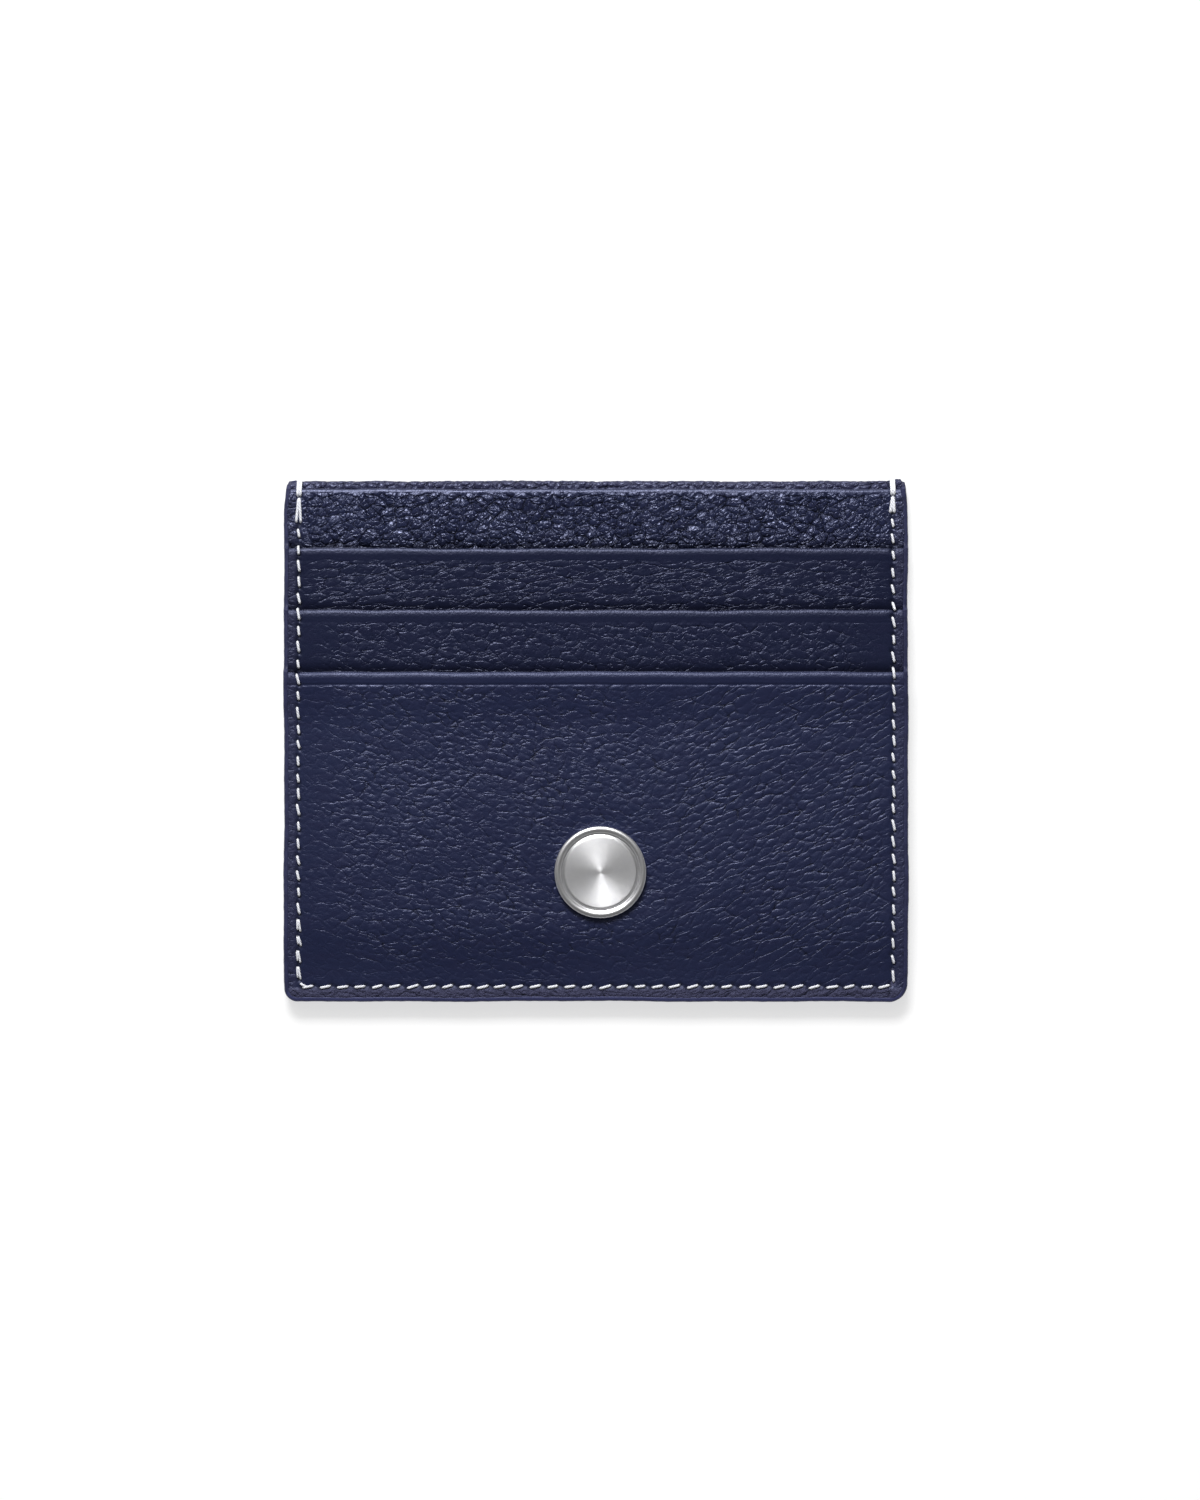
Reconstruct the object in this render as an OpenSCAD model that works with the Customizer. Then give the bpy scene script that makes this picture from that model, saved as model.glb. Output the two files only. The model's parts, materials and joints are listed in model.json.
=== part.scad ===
// Flat leather card holder. It lies on its back: +Z points out of its front,
// +Y towards the mouths of its pockets. Millimetres.
// Places along the height are given as t, the distance down from the top edge.

/* [Outline] */
// Width over the painted edges
holder_w = 100; // [80:0.5:125]
// Height from the bottom edge to the top of the back panel
holder_h = 83.5; // [69:0.5:105]
// Radius of the bottom corner on the right
right_corner_r = 3; // [1:0.1:6]
// Radius of the bottom corner on the left
left_corner_r = 2.2; // [1:0.1:6]
// Radius of the two corners beside the mouth
top_corner_r = 0.6; // [0.2:0.1:0.6]
// Thickness of the painted edge, seen from the front
paint_w = 0.6; // [0.6:0.1:1]
// How far the paint stays back from the front and back faces
paint_back_off = 0.1; // [0.05:0.01:0.2]

/* [Back] */
// Thickness of the back leather
back_t = 0.8; // [0.6:0.05:1.4]
// Thickness of the hem turned in at the top of the back
hem_t = 0.5; // [0.4:0.05:0.8]
// Length of that hem
hem_len = 8; // [5:0.5:12]
// Clearance between the hem and what lies below it
hem_clear = 0.2; // [0.1:0.05:0.5]
// Thickness of each fabric lining
lining_t = 0.15; // [0.1:0.01:0.25]

/* [Front body] */
// How far the front body stops below the top of the back
body_drop = 1.35; // [0.8:0.05:3]
// Thickness of the front body leather
body_t = 0.8; // [0.6:0.05:1.4]
// Opening of the empty centre pocket
pocket_gap = 0.2; // [0.1:0.05:0.8]
// Distance from the body's mouth down to its lining
lining_drop = 1; // [0.5:0.1:1.4]

/* [Card slots] */
// Distance from the top edge to the first slot's mouth
first_mouth = 10.9; // [9.2:0.1:16]
// Distance from one mouth to the next
slot_step = 9.9; // [8:0.1:12]
// Thickness of a slot's leather strip
strip_t = 0.6; // [0.5:0.05:0.8]
// Opening of an empty slot
slot_gap = 0.1; // [0.08:0.01:0.3]
// How far a strip runs on below the next mouth
strip_lap = 6.5; // [5:0.1:7.5]
// Thickness of a strip at its skived lower edge
feather_t = 0.25; // [0.15:0.01:0.3]
// Thickness of the leather of the lower panel
panel_t = 0.8; // [0.6:0.05:1.4]
// Thickness of a slot's fabric tongue
tongue_t = 0.15; // [0.1:0.01:0.25]
// Height of the upper slot's base above the bottom edge
upper_base_up = 22.5; // [18:0.5:26]
// Height of the middle slot's base above the bottom edge
middle_base_up = 12.5; // [11:0.5:16]
// Width of the tape that stiffens a mouth
mouth_tape_w = 5; // [3:0.1:5.2]
// Distance from a mouth to its tape
mouth_tape_in = 1.5; // [1:0.1:1.6]
// Thickness of the tape that stiffens a mouth
mouth_tape_t = 0.2; // [0.1:0.01:0.3]

/* [Seam] */
// Distance from the outer edge to the line of stitches
seam_in = 2.45; // [2:0.05:3.2]
// Width of the margin that is glued before it is sewn
margin_w = 4.5; // [4:0.1:6]
// Distance from one stitch to the next
stitch_pitch = 2.75; // [2:0.05:4]
// Length of the thread seen in one stitch
stitch_len = 1.9; // [1.2:0.05:1.95]
// Thickness of the thread
thread_d = 0.5; // [0.35:0.01:0.6]
// Lean of each stitch across the line
stitch_lean = 8; // [0:1:15]
// Distance down from the mouth that a corner tack reaches
tack_len = 5.6; // [4:0.1:8]
// Depth of the channel that takes the stitches of the back
channel_d = 0.3; // [0.27:0.01:0.4]
// Clearance of the thread in its channel and notch
channel_clear = 0.1; // [0.05:0.01:0.2]

/* [Badge] */
// Diameter of the badge
badge_d = 14.7; // [10:0.1:18]
// Height of the badge's centre above the bottom edge
badge_up = 20.8; // [19:0.1:24]
// Sideways place of the badge's centre
badge_x = 0.7; // [-5:0.1:5]
// Thickness of the badge at its rim
badge_t = 1.1; // [0.8:0.05:1.6]
// Width of the raised rim
rim_w = 1.1; // [0.7:0.05:1.8]
// Depth of the dished face inside the rim
dish_d = 0.45; // [0.2:0.05:0.6]
// Distance between the two prongs
prong_span = 7; // [5:0.1:8]
// Width of a prong
prong_w = 2; // [1.2:0.1:2.5]
// Thickness of a prong
prong_t = 0.15; // [0.1:0.01:0.17]
// Length of a prong's folded end
prong_fold = 2; // [1:0.1:2.2]
// Thickness of the washer that the prongs close on
washer_t = 0.2; // [0.1:0.01:0.2]
// Diameter of that washer
washer_d = 12; // [10.5:0.1:12.5]
// Clearance around the washer and the prongs
badge_clear = 0.1; // [0.05:0.01:0.2]

/* [Hidden] */

round_fn = 64;
over = 1;
tall = 20;
half_w = holder_w / 2;
half_h = holder_h / 2;
thread_r = thread_d / 2;
tongue_half_w = half_w - margin_w - 0.5;
stiffener_t = hem_t - lining_t;

// Distance down to each mouth, and to the lower edge of each strip
upper_mouth = first_mouth;
middle_mouth = upper_mouth + slot_step;
lower_mouth = middle_mouth + slot_step;
upper_end = middle_mouth + strip_lap;
middle_end = lower_mouth + strip_lap;
upper_base = holder_h - upper_base_up;
middle_base = holder_h - middle_base_up;
seam_start = 0.3;
lap_start = 0.5;
level_run = 0.8;

// Height of each level above the resting face
hem_z = back_t + hem_t;
body_lining_z = hem_z + pocket_gap;
body_z = body_lining_z + lining_t;
body_top = body_z + body_t;
upper_z = body_top + slot_gap;
upper_top = upper_z + strip_t;
middle_z = upper_top + slot_gap;
middle_top = middle_z + strip_t;
lower_z = middle_top + slot_gap;
middle_tongue_z = upper_z + tongue_t + slot_gap;
panel_lining_z = middle_tongue_z + tongue_t + slot_gap;
panel_z = panel_lining_z + lining_t;

// Flesh side of the lower panel: level at the mouth, down over the strips' ends,
// level over the tongues, and down to the body at the bottom seam
panel_ramp = [[lower_mouth, lower_z], [lower_mouth + level_run, lower_z],
    [middle_end + 1.5, panel_z], [holder_h - margin_w - 7.5, panel_z],
    [holder_h - margin_w, body_top], [holder_h, body_top]];
// Under side of the middle strip, which rests on the upper strip and then on the tongues
middle_ramp = [[middle_mouth, middle_z], [upper_end + 0.5, middle_z],
    [middle_end, middle_tongue_z], [middle_base, middle_tongue_z]];

function panel_under(t) = lookup(t, panel_ramp);
function middle_under(t) = lookup(t, middle_ramp);
function front_z(t) = t < body_drop ? hem_z
    : t < upper_mouth ? body_top
    : t < middle_mouth ? upper_top
    : t < lower_mouth ? middle_top : panel_under(t) + panel_t;
function reversed(list) = [for (i = [len(list) - 1:-1:0]) list[i]];
function raised(list, by) = [for (p = list) [p[0], p[1] + by]];
// Places where the front steps up or bends down, which a stitch bridges
brows = [upper_mouth, middle_mouth, lower_mouth, panel_ramp[1][0], panel_ramp[3][0]];
function bridged(t0, t1) = [for (m = brows) if (t0 < m && m < t1) front_z(m)];

// Flesh-side rebate that holds the tape behind a mouth
function rebate(mouth, z0, z1) = [[mouth + mouth_tape_in, z0],
    [mouth + mouth_tape_in, z0 + mouth_tape_t],
    [mouth + mouth_tape_in + mouth_tape_w, z1 + mouth_tape_t],
    [mouth + mouth_tape_in + mouth_tape_w, z1]];

// The flesh and grain sides of the strips and the panel
body_flesh = concat([[body_drop, body_z]], rebate(body_drop, body_z, body_z),
    [[holder_h, body_z]]);
upper_lap = [[middle_mouth + lap_start, upper_z + tongue_t], [upper_end, upper_z + tongue_t]];
upper_flesh = concat([[upper_mouth, upper_z]], rebate(upper_mouth, upper_z, upper_z),
    [[middle_mouth + lap_start, upper_z]], upper_lap);
upper_grain = [[upper_mouth, upper_top], [middle_mouth + lap_start, upper_top],
    [upper_end, upper_z + tongue_t + feather_t]];
middle_lap_z = middle_under(lower_mouth + lap_start);
middle_lap = [[lower_mouth + lap_start, middle_lap_z + tongue_t],
    [middle_end, middle_tongue_z + tongue_t]];
middle_flesh = concat([[middle_mouth, middle_z]], rebate(middle_mouth, middle_z, middle_z),
    [[upper_end + 0.5, middle_z], [lower_mouth + lap_start, middle_lap_z]], middle_lap);
middle_grain = [[middle_mouth, middle_top], [lower_mouth + lap_start, middle_top],
    [middle_end, middle_tongue_z + tongue_t + feather_t]];
lower_tape_z0 = panel_under(lower_mouth + mouth_tape_in);
lower_tape_z1 = panel_under(lower_mouth + mouth_tape_in + mouth_tape_w);
lower_flesh = concat([panel_ramp[0], panel_ramp[1]],
    rebate(lower_mouth, lower_tape_z0, lower_tape_z1),
    [for (i = [2:len(panel_ramp) - 1]) panel_ramp[i]]);

// Round corner taken off a square one at (x, y)
module corner_waste(x, y, r) {
    side_x = sign(x);
    side_y = sign(y);
    difference() {
        translate([x + side_x * (over - r) / 2, y + side_y * (over - r) / 2])
            square(r + over, center = true);
        translate([x - side_x * r, y - side_y * r]) circle(r = r, $fn = round_fn);
    }
}

// Outline of the holder, inset on the three painted sides
module outline(inset) {
    difference() {
        translate([inset - half_w, inset - half_h])
            square([holder_w - 2 * inset, holder_h - inset]);
        corner_waste(half_w - inset, inset - half_h, right_corner_r - inset);
        corner_waste(inset - half_w, inset - half_h, left_corner_r - inset);
        if (inset == 0) {
            corner_waste(half_w, half_h, top_corner_r);
            corner_waste(-half_w, half_h, top_corner_r);
        }
    }
}

// Bar along X whose section is a list of points (t, z)
module bar(section, w) {
    rotate([90, 0, 90]) linear_extrude(height = w, center = true)
        polygon([for (p = section) [half_h - p[0], p[1]]]);
}

// Layer between an under side and an upper side, out to the painted edge
module layer(under, upper) {
    intersection() {
        linear_extrude(height = tall) outline(paint_w);
        bar(concat(under, reversed(upper)), holder_w);
    }
}

// The part of its children that lies in the sewn margin
module in_margin() {
    intersection() {
        children();
        difference() {
            translate([-half_w, -half_h, 0]) cube([holder_w, holder_h, tall]);
            translate([margin_w - half_w, margin_w - half_h, -over])
                cube([holder_w - 2 * margin_w, holder_h, tall + 2 * over]);
        }
    }
}

// Flat fabric or board between two places and two heights, inside a half width
module sheet(t0, t1, z0, z1, half) {
    translate([-half, half_h - t1, z0]) cube([2 * half, t1 - t0, z1 - z0]);
}

// Tape in the rebate behind a mouth
module mouth_tape(mouth, z0, z1) {
    bar(rebate(mouth, z0, z1), holder_w - 2 * margin_w);
}

// Half-round stitch along X on a flat seat
module stitch() {
    intersection() {
        rotate([0, 90, 0]) cylinder(r = thread_r, h = stitch_len, center = true, $fn = 24);
        translate([-stitch_len, -thread_d, 0]) cube([2 * stitch_len, 2 * thread_d, thread_d]);
    }
}

side_run = holder_h - seam_in - tack_len;
side_count = round(side_run / stitch_pitch);
side_pitch = side_run / side_count;
bottom_run = holder_w - 2 * seam_in;
bottom_count = round(bottom_run / stitch_pitch);
bottom_pitch = bottom_run / bottom_count;

// Stitches down one side of the front, each lying on the layer below it
module side_stitches(x) {
    for (i = [0:side_count - 1]) {
        t = tack_len + (i + 0.5) * side_pitch;
        t0 = t - stitch_len / 2;
        t1 = t + stitch_len / 2;
        z0 = front_z(t0);
        z1 = front_z(t1);
        brow_z = bridged(t0, t1);
        level = len(brow_z) > 0;
        seat_z = level ? max(concat([z0, z1], brow_z)) : max((z0 + z1) / 2, front_z(t));
        translate([x, half_h - t, seat_z])
            rotate([level ? 0 : atan2(z0 - z1, stitch_len), 0, 0])
                rotate([0, 0, 90 + stitch_lean]) stitch();
    }
}

// Stitches along the bottom at a height, the right way up or turned over
module bottom_stitches(z, turned) {
    for (i = [0:bottom_count - 1])
        translate([seam_in - half_w + (i + 0.5) * bottom_pitch, seam_in - half_h, z])
            rotate([turned, 0, stitch_lean]) stitch();
}

// Channel along the stitch line in the outer face of the back
module back_channel() {
    channel_w = 2 * (thread_d + channel_clear);
    for (side = [-1, 1])
        translate([side * (half_w - seam_in) - channel_w / 2, seam_in - half_h - channel_w / 2, -over])
            cube([channel_w, holder_h, channel_d + over]);
    translate([seam_in - half_w, seam_in - half_h - channel_w / 2, -over])
        cube([holder_w - 2 * seam_in, channel_w, channel_d + over]);
}

// Row of flat stitches across a tongue at its base
module base_stitches(base, z) {
    base_in = 1.5;
    base_stitch_w = 0.4;
    base_count = floor(2 * (tongue_half_w - 1) / stitch_pitch);
    for (i = [0:base_count - 1])
        translate([(i + 0.5 - base_count / 2) * stitch_pitch - stitch_len / 2, half_h - base + base_in, z])
            cube([stitch_len, base_stitch_w, slot_gap * 0.8]);
}

// Doubled thread that locks the mouth's corner: over the body, over the top edge, down the back
module mouth_tack(x) {
    strand_w = thread_d - 0.02;
    strand_t = 0.4;
    skin_z = channel_d - thread_r;
    section = [[tack_len, body_top], [tack_len, body_top + strand_t],
        [body_drop - strand_t, body_top + strand_t], [0, hem_z + strand_t], [0, skin_z],
        [tack_len, skin_z], [tack_len, channel_d], [channel_d, channel_d], [channel_d, hem_z],
        [body_drop, hem_z], [body_drop, body_top]];
    for (side = [-1, 1])
        translate([x + side * thread_d / 2, 0, 0]) bar(section, strand_w);
}

// Notch in the back's top edge that lets the tack lie flush
module tack_notches() {
    for (side = [-1, 1])
        translate([side * (half_w - seam_in) - thread_d - channel_clear, half_h - channel_d, -over])
            cube([2 * (thread_d + channel_clear), 2 * over, tall]);
}

module back_panel() {
    color("midnightblue") difference() {
        layer([[0, 0], [holder_h, 0]],
            [[0, hem_z], [hem_len, hem_z], [hem_len, back_t], [holder_h, back_t]]);
        back_channel();
        tack_notches();
    }
}

module back_stiffener() {
    color("tan") layer([[hem_len + hem_clear, back_t], [holder_h, back_t]],
        [[hem_len + hem_clear, back_t + stiffener_t], [holder_h, back_t + stiffener_t]]);
}

module centre_pocket_back_lining() {
    lining_z = back_t + stiffener_t;
    color("darkslateblue") layer([[hem_len + hem_clear, lining_z], [holder_h, lining_z]],
        [[hem_len + hem_clear, hem_z], [holder_h, hem_z]]);
}

module centre_pocket_seam_tape() {
    color("gainsboro") in_margin() layer([[body_drop + lining_drop, hem_z], [holder_h, hem_z]],
        [[body_drop + lining_drop, body_lining_z], [holder_h, body_lining_z]]);
}

module centre_pocket_front_lining() {
    top_t = body_drop + lining_drop;
    color("darkslateblue") layer([[top_t, body_lining_z], [holder_h, body_lining_z]],
        [[top_t, body_z], [holder_h, body_z]]);
}

module front_body_panel() {
    color("midnightblue") layer(body_flesh, [[body_drop, body_top], [holder_h, body_top]]);
}

module front_body_mouth_tape() {
    color("white") mouth_tape(body_drop, body_z, body_z);
}

module upper_slot_leather() {
    color("midnightblue") layer(upper_flesh, upper_grain);
}

module upper_slot_mouth_tape() {
    color("white") mouth_tape(upper_mouth, upper_z, upper_z);
}

module upper_slot_tongue() {
    color("slateblue")
        sheet(middle_mouth + lap_start, upper_base, upper_z, upper_z + tongue_t, tongue_half_w);
}

module upper_slot_base_stitches() {
    color("navy") base_stitches(upper_base, upper_z + tongue_t);
}

module upper_slot_seam_tapes() {
    color("gainsboro") in_margin()
        layer([[upper_mouth + seam_start, body_top], [upper_end, body_top]],
            concat([[upper_mouth + seam_start, upper_z], [middle_mouth + lap_start, upper_z]], upper_lap));
}

module middle_slot_leather() {
    color("midnightblue") layer(middle_flesh, middle_grain);
}

module middle_slot_mouth_tape() {
    color("white") mouth_tape(middle_mouth, middle_z, middle_z);
}

module middle_slot_tongue() {
    under = [[lower_mouth + lap_start, middle_lap_z], [middle_end, middle_tongue_z],
        [middle_base, middle_tongue_z]];
    color("slateblue") bar(concat(under, reversed(raised(under, tongue_t))), 2 * tongue_half_w);
}

module middle_slot_base_stitches() {
    color("navy") base_stitches(middle_base, middle_tongue_z + tongue_t);
}

module middle_slot_seam_fillers() {
    start = middle_mouth + seam_start;
    color("gainsboro") in_margin() layer(
        [[start, upper_top], upper_grain[1], upper_grain[2], [upper_end, body_top],
            [middle_end, body_top]],
        concat([[start, middle_z], [upper_end + 0.5, middle_z],
            [lower_mouth + lap_start, middle_lap_z]], middle_lap));
}

module lower_slot_panel() {
    color("midnightblue") difference() {
        layer(lower_flesh, raised(panel_ramp, panel_t));
        translate([badge_x, badge_up - half_h, 0]) {
            translate([0, 0, panel_z - over])
                cylinder(d = washer_d + 2 * badge_clear, h = over + washer_t + prong_t, $fn = round_fn);
            for (side = [-1, 1])
                translate([side * prong_span / 2 - prong_t / 2 - badge_clear, -prong_w / 2 - badge_clear, 0])
                    cube([prong_t + 2 * badge_clear, prong_w + 2 * badge_clear, tall]);
        }
    }
}

module lower_slot_mouth_tape() {
    color("white") mouth_tape(lower_mouth, lower_tape_z0, lower_tape_z1);
}

module lower_slot_lining() {
    foot_t = holder_h - margin_w;
    foot_run = 7.5 * (panel_z - lining_t - body_top) / (panel_z - body_top);
    under = [[middle_end + 1.5, panel_lining_z], [foot_t - 7.5, panel_lining_z],
        [foot_t - 7.5 + foot_run, body_top]];
    color("slateblue") bar(concat(under, reversed(raised(under, lining_t))), 2 * tongue_half_w);
}

module lower_slot_seam_fillers() {
    start = lower_mouth + seam_start;
    color("gainsboro") in_margin() layer(
        [[start, middle_top], middle_grain[1], middle_grain[2], [middle_end, body_top],
            [holder_h - margin_w, body_top]],
        [[start, lower_z], panel_ramp[1], panel_ramp[2], panel_ramp[3]]);
}

module edge_paint() {
    steps = [[0, hem_z], [body_drop, hem_z], [body_drop, body_top], [upper_mouth, body_top],
        [upper_mouth, upper_top], [middle_mouth, upper_top], [middle_mouth, middle_top],
        [lower_mouth, middle_top]];
    color("darkblue") intersection() {
        linear_extrude(height = tall) difference() {
            outline(0);
            outline(paint_w);
        }
        bar(concat([[0, paint_back_off], [holder_h, paint_back_off]],
            reversed(concat(raised(steps, -paint_back_off),
                raised(panel_ramp, panel_t - paint_back_off)))), holder_w + over);
    }
}

module seam_stitches_front() {
    color("whitesmoke") {
        for (side = [-1, 1]) side_stitches(side * (half_w - seam_in));
        bottom_stitches(body_top + panel_t, 0);
    }
}

module seam_stitches_back() {
    color("whitesmoke") {
        for (side = [-1, 1], i = [0:side_count - 1])
            translate([side * (half_w - seam_in), half_h - tack_len - (i + 0.5) * side_pitch, channel_d])
                rotate([180, 0, 90 + stitch_lean]) stitch();
        bottom_stitches(channel_d, 180);
    }
}

module mouth_tack_left() {
    color("whitesmoke") mouth_tack(seam_in - half_w);
}

module mouth_tack_right() {
    color("whitesmoke") mouth_tack(half_w - seam_in);
}

// Turned disc with a bevelled rim and a dished face, and two folded prongs behind it
module badge() {
    badge_r = badge_d / 2;
    bevel = 0.25;
    seat_z = panel_z + panel_t;
    fold_z = panel_z;
    color("silver") translate([badge_x, badge_up - half_h, 0]) {
        translate([0, 0, seat_z]) rotate_extrude($fn = round_fn)
            polygon([[0, 0], [badge_r, 0], [badge_r, badge_t - bevel], [badge_r - bevel, badge_t],
                [badge_r - rim_w + bevel, badge_t], [badge_r - rim_w, badge_t - dish_d],
                [0, badge_t - dish_d / 2]]);
        for (side = [-1, 1]) {
            translate([side * prong_span / 2 - prong_t / 2, -prong_w / 2, fold_z])
                cube([prong_t, prong_w, seat_z - fold_z + bevel]);
            translate([side * (prong_span - prong_fold) / 2 - prong_fold / 2, -prong_w / 2, fold_z])
                cube([prong_fold, prong_w, prong_t]);
        }
    }
}

module badge_washer() {
    color("goldenrod") translate([badge_x, badge_up - half_h, panel_z + prong_t]) difference() {
        cylinder(d = washer_d, h = washer_t, $fn = round_fn);
        for (side = [-1, 1])
            translate([side * prong_span / 2 - prong_t / 2 - badge_clear, -prong_w / 2 - badge_clear, -over])
                cube([prong_t + 2 * badge_clear, prong_w + 2 * badge_clear, washer_t + 2 * over]);
    }
}

back_panel();
back_stiffener();
centre_pocket_back_lining();
centre_pocket_seam_tape();
centre_pocket_front_lining();
front_body_panel();
front_body_mouth_tape();
upper_slot_leather();
upper_slot_mouth_tape();
upper_slot_tongue();
upper_slot_base_stitches();
upper_slot_seam_tapes();
middle_slot_leather();
middle_slot_mouth_tape();
middle_slot_tongue();
middle_slot_base_stitches();
middle_slot_seam_fillers();
lower_slot_panel();
lower_slot_mouth_tape();
lower_slot_lining();
lower_slot_seam_fillers();
edge_paint();
seam_stitches_front();
seam_stitches_back();
mouth_tack_left();
mouth_tack_right();
badge();
badge_washer();
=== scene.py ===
import json
import math
import bpy
import numpy as np
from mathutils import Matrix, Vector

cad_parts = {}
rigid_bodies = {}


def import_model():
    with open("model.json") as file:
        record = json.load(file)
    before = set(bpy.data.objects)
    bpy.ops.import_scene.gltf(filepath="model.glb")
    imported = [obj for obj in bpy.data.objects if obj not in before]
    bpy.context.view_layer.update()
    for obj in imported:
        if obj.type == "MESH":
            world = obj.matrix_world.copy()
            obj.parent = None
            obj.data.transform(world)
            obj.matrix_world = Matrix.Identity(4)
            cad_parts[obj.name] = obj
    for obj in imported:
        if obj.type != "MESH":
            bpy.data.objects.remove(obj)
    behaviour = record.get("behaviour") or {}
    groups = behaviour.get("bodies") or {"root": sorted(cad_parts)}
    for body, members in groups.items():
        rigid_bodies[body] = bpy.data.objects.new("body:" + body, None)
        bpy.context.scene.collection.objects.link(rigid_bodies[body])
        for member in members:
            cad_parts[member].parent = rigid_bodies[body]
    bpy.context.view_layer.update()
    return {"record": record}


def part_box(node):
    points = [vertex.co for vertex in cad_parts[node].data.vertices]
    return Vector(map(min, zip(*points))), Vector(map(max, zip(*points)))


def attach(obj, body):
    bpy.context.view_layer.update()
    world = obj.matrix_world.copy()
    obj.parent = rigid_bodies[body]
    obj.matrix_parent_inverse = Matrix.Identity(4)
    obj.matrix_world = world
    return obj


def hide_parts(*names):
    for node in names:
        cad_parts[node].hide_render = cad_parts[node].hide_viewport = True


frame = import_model()
mm = 0.001  # lengths below are millimetres until a mesh is made


# Sizes and places, read from the frame
def boxOf(node):
    low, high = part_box(node)
    return np.array(low) / mm, np.array(high) / mm


paintLow, paintHigh = boxOf("edge_paint")
topY, halfW = paintHigh[1], paintHigh[0]
holderH = topY - paintLow[1]
paintW = halfW - boxOf("back_panel")[1][0]
leatherEnd = holderH - paintW


def mouthOf(node):
    return topY - boxOf(node)[1][1]  # distance down from the top edge


def topOf(node):
    return boxOf(node)[1][2]


def colourOf(slot):
    return next(m["base_color"] for m in frame["record"]["materials"] if m["slot"] == slot)[:3]


mouth = {name: mouthOf(node) for name, node in (
    ("body", "front_body_panel"), ("upper", "upper_slot_leather"),
    ("middle", "middle_slot_leather"), ("lower", "lower_slot_panel"))}
level = {"hem": topOf("back_panel"), "body": topOf("front_body_panel"),
         "upper": topOf("upper_slot_leather"), "middle": topOf("middle_slot_leather"),
         "lower": topOf("lower_slot_panel")}
thick = {"body": 0.8, "strip": 0.6, "panel": 0.8}
level["tongues"] = topOf("lower_slot_lining")
level["foot"] = level["body"]
seam = {"in": 2.45, "pitch": {-1: 2.61, 1: 2.69}, "bottomPitch": 2.8, "hole": 0.25, "holeReach": 1.2,
        "holeMost": 1.15, "trough": 0.05, "troughWidth": 0.6, "troughEnd": 0.4, "threadR": 0.215, "seed": 11}
seamX, seamT = halfW - seam["in"], holderH - seam["in"]  # the line of stitches, across and down
footY = topY - seamT
skinW = halfW - paintW  # where the leather ends and the paint begins
outline = {"corner": {-1: 2.2, 1: 3.0}, "topCorner": {-1: 1.0, 1: 0.5}, "taper": 0.38, "taperOver": 3.4,
           "footWave": 12}


# Small smooth waves that keep hand-cut edges from being dead straight
def waves(seed, lengths, size):
    phases = np.random.default_rng(seed).uniform(0, 2 * np.pi, len(lengths))

    def wave(s):
        return size / len(lengths) * sum(
            np.sin(2 * np.pi * s / length + phase) for length, phase in zip(lengths, phases))
    return wave


def smooth(x, low, high):
    s = np.clip((x - low) / (high - low), 0, 1)
    return s * s * (3 - 2 * s)


sideWave = {-1: waves(3, (71, 33, 14), 0.12), 1: waves(8, (64, 29, 13), 0.12)}
bottomWave = waves(5, (83, 37, 17), 0.12)


# Where a point of the leather lies: u runs from -1 at the left edge to 1 at the right edge,
# t is the distance down from the top edge
def sideX(side, t):
    r, top = outline["corner"][side] - paintW, outline["topCorner"][side]
    drop, rise = np.clip(t - (leatherEnd - r), 0, r), np.clip(top - t, 0, top)
    footCorner = r - np.sqrt(np.maximum(r * r - drop * drop, 0))
    mouthCorner = top - np.sqrt(np.maximum(top * top - rise * rise, 0))
    taper = outline["taper"] * np.exp(-(t / outline["taperOver"]) ** 2)
    return side * (skinW + sideWave[side](t) - footCorner - mouthCorner - taper)


def place(u, t):
    left, right = sideX(-1, t), sideX(1, t)
    x = left + (u + 1) / 2 * (right - left)
    y = topY - t - bottomWave(x) * smooth(t, leatherEnd - outline["footWave"], leatherEnd)
    return x, y


# Height of the front's outer surface
ramp = {"lip": 0.8, "foot": (12, 4.5), "ease": 1.6, "easeOver": 6}
panelRamp = np.array([[mouth["lower"], level["lower"]], [mouth["lower"] + ramp["lip"], level["lower"]],
                      [mouthOf("lower_slot_lining"), level["tongues"] + thick["panel"]],
                      [holderH - ramp["foot"][0], level["tongues"] + thick["panel"]],
                      [holderH - ramp["foot"][1], level["foot"] + thick["panel"]],
                      [holderH, level["foot"] + thick["panel"]]])


def panelTop(t):
    # the kinks of the ramp are eased over a few millimetres
    share = smooth(t, mouth["lower"], mouth["lower"] + ramp["easeOver"])
    spread = np.linspace(-ramp["ease"], ramp["ease"], 9)
    return np.mean([np.interp(t + s * share, panelRamp[:, 0], panelRamp[:, 1]) for s in spread], axis=0)


def frontZ(t):
    t = np.asarray(t, float)
    return np.select([t < mouth["body"], t < mouth["upper"], t < mouth["middle"], t < mouth["lower"]],
                     [level["hem"], level["body"], level["upper"], level["middle"]], panelTop(t))


print("frame read:", round(2 * halfW, 2), "x", round(holderH, 2), "mm")


def arithmetic(kind, reflected=False):
    if reflected:
        return lambda wire, other: wire.math(kind, other, wire)
    return lambda wire, other: wire.math(kind, wire, other)


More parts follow.
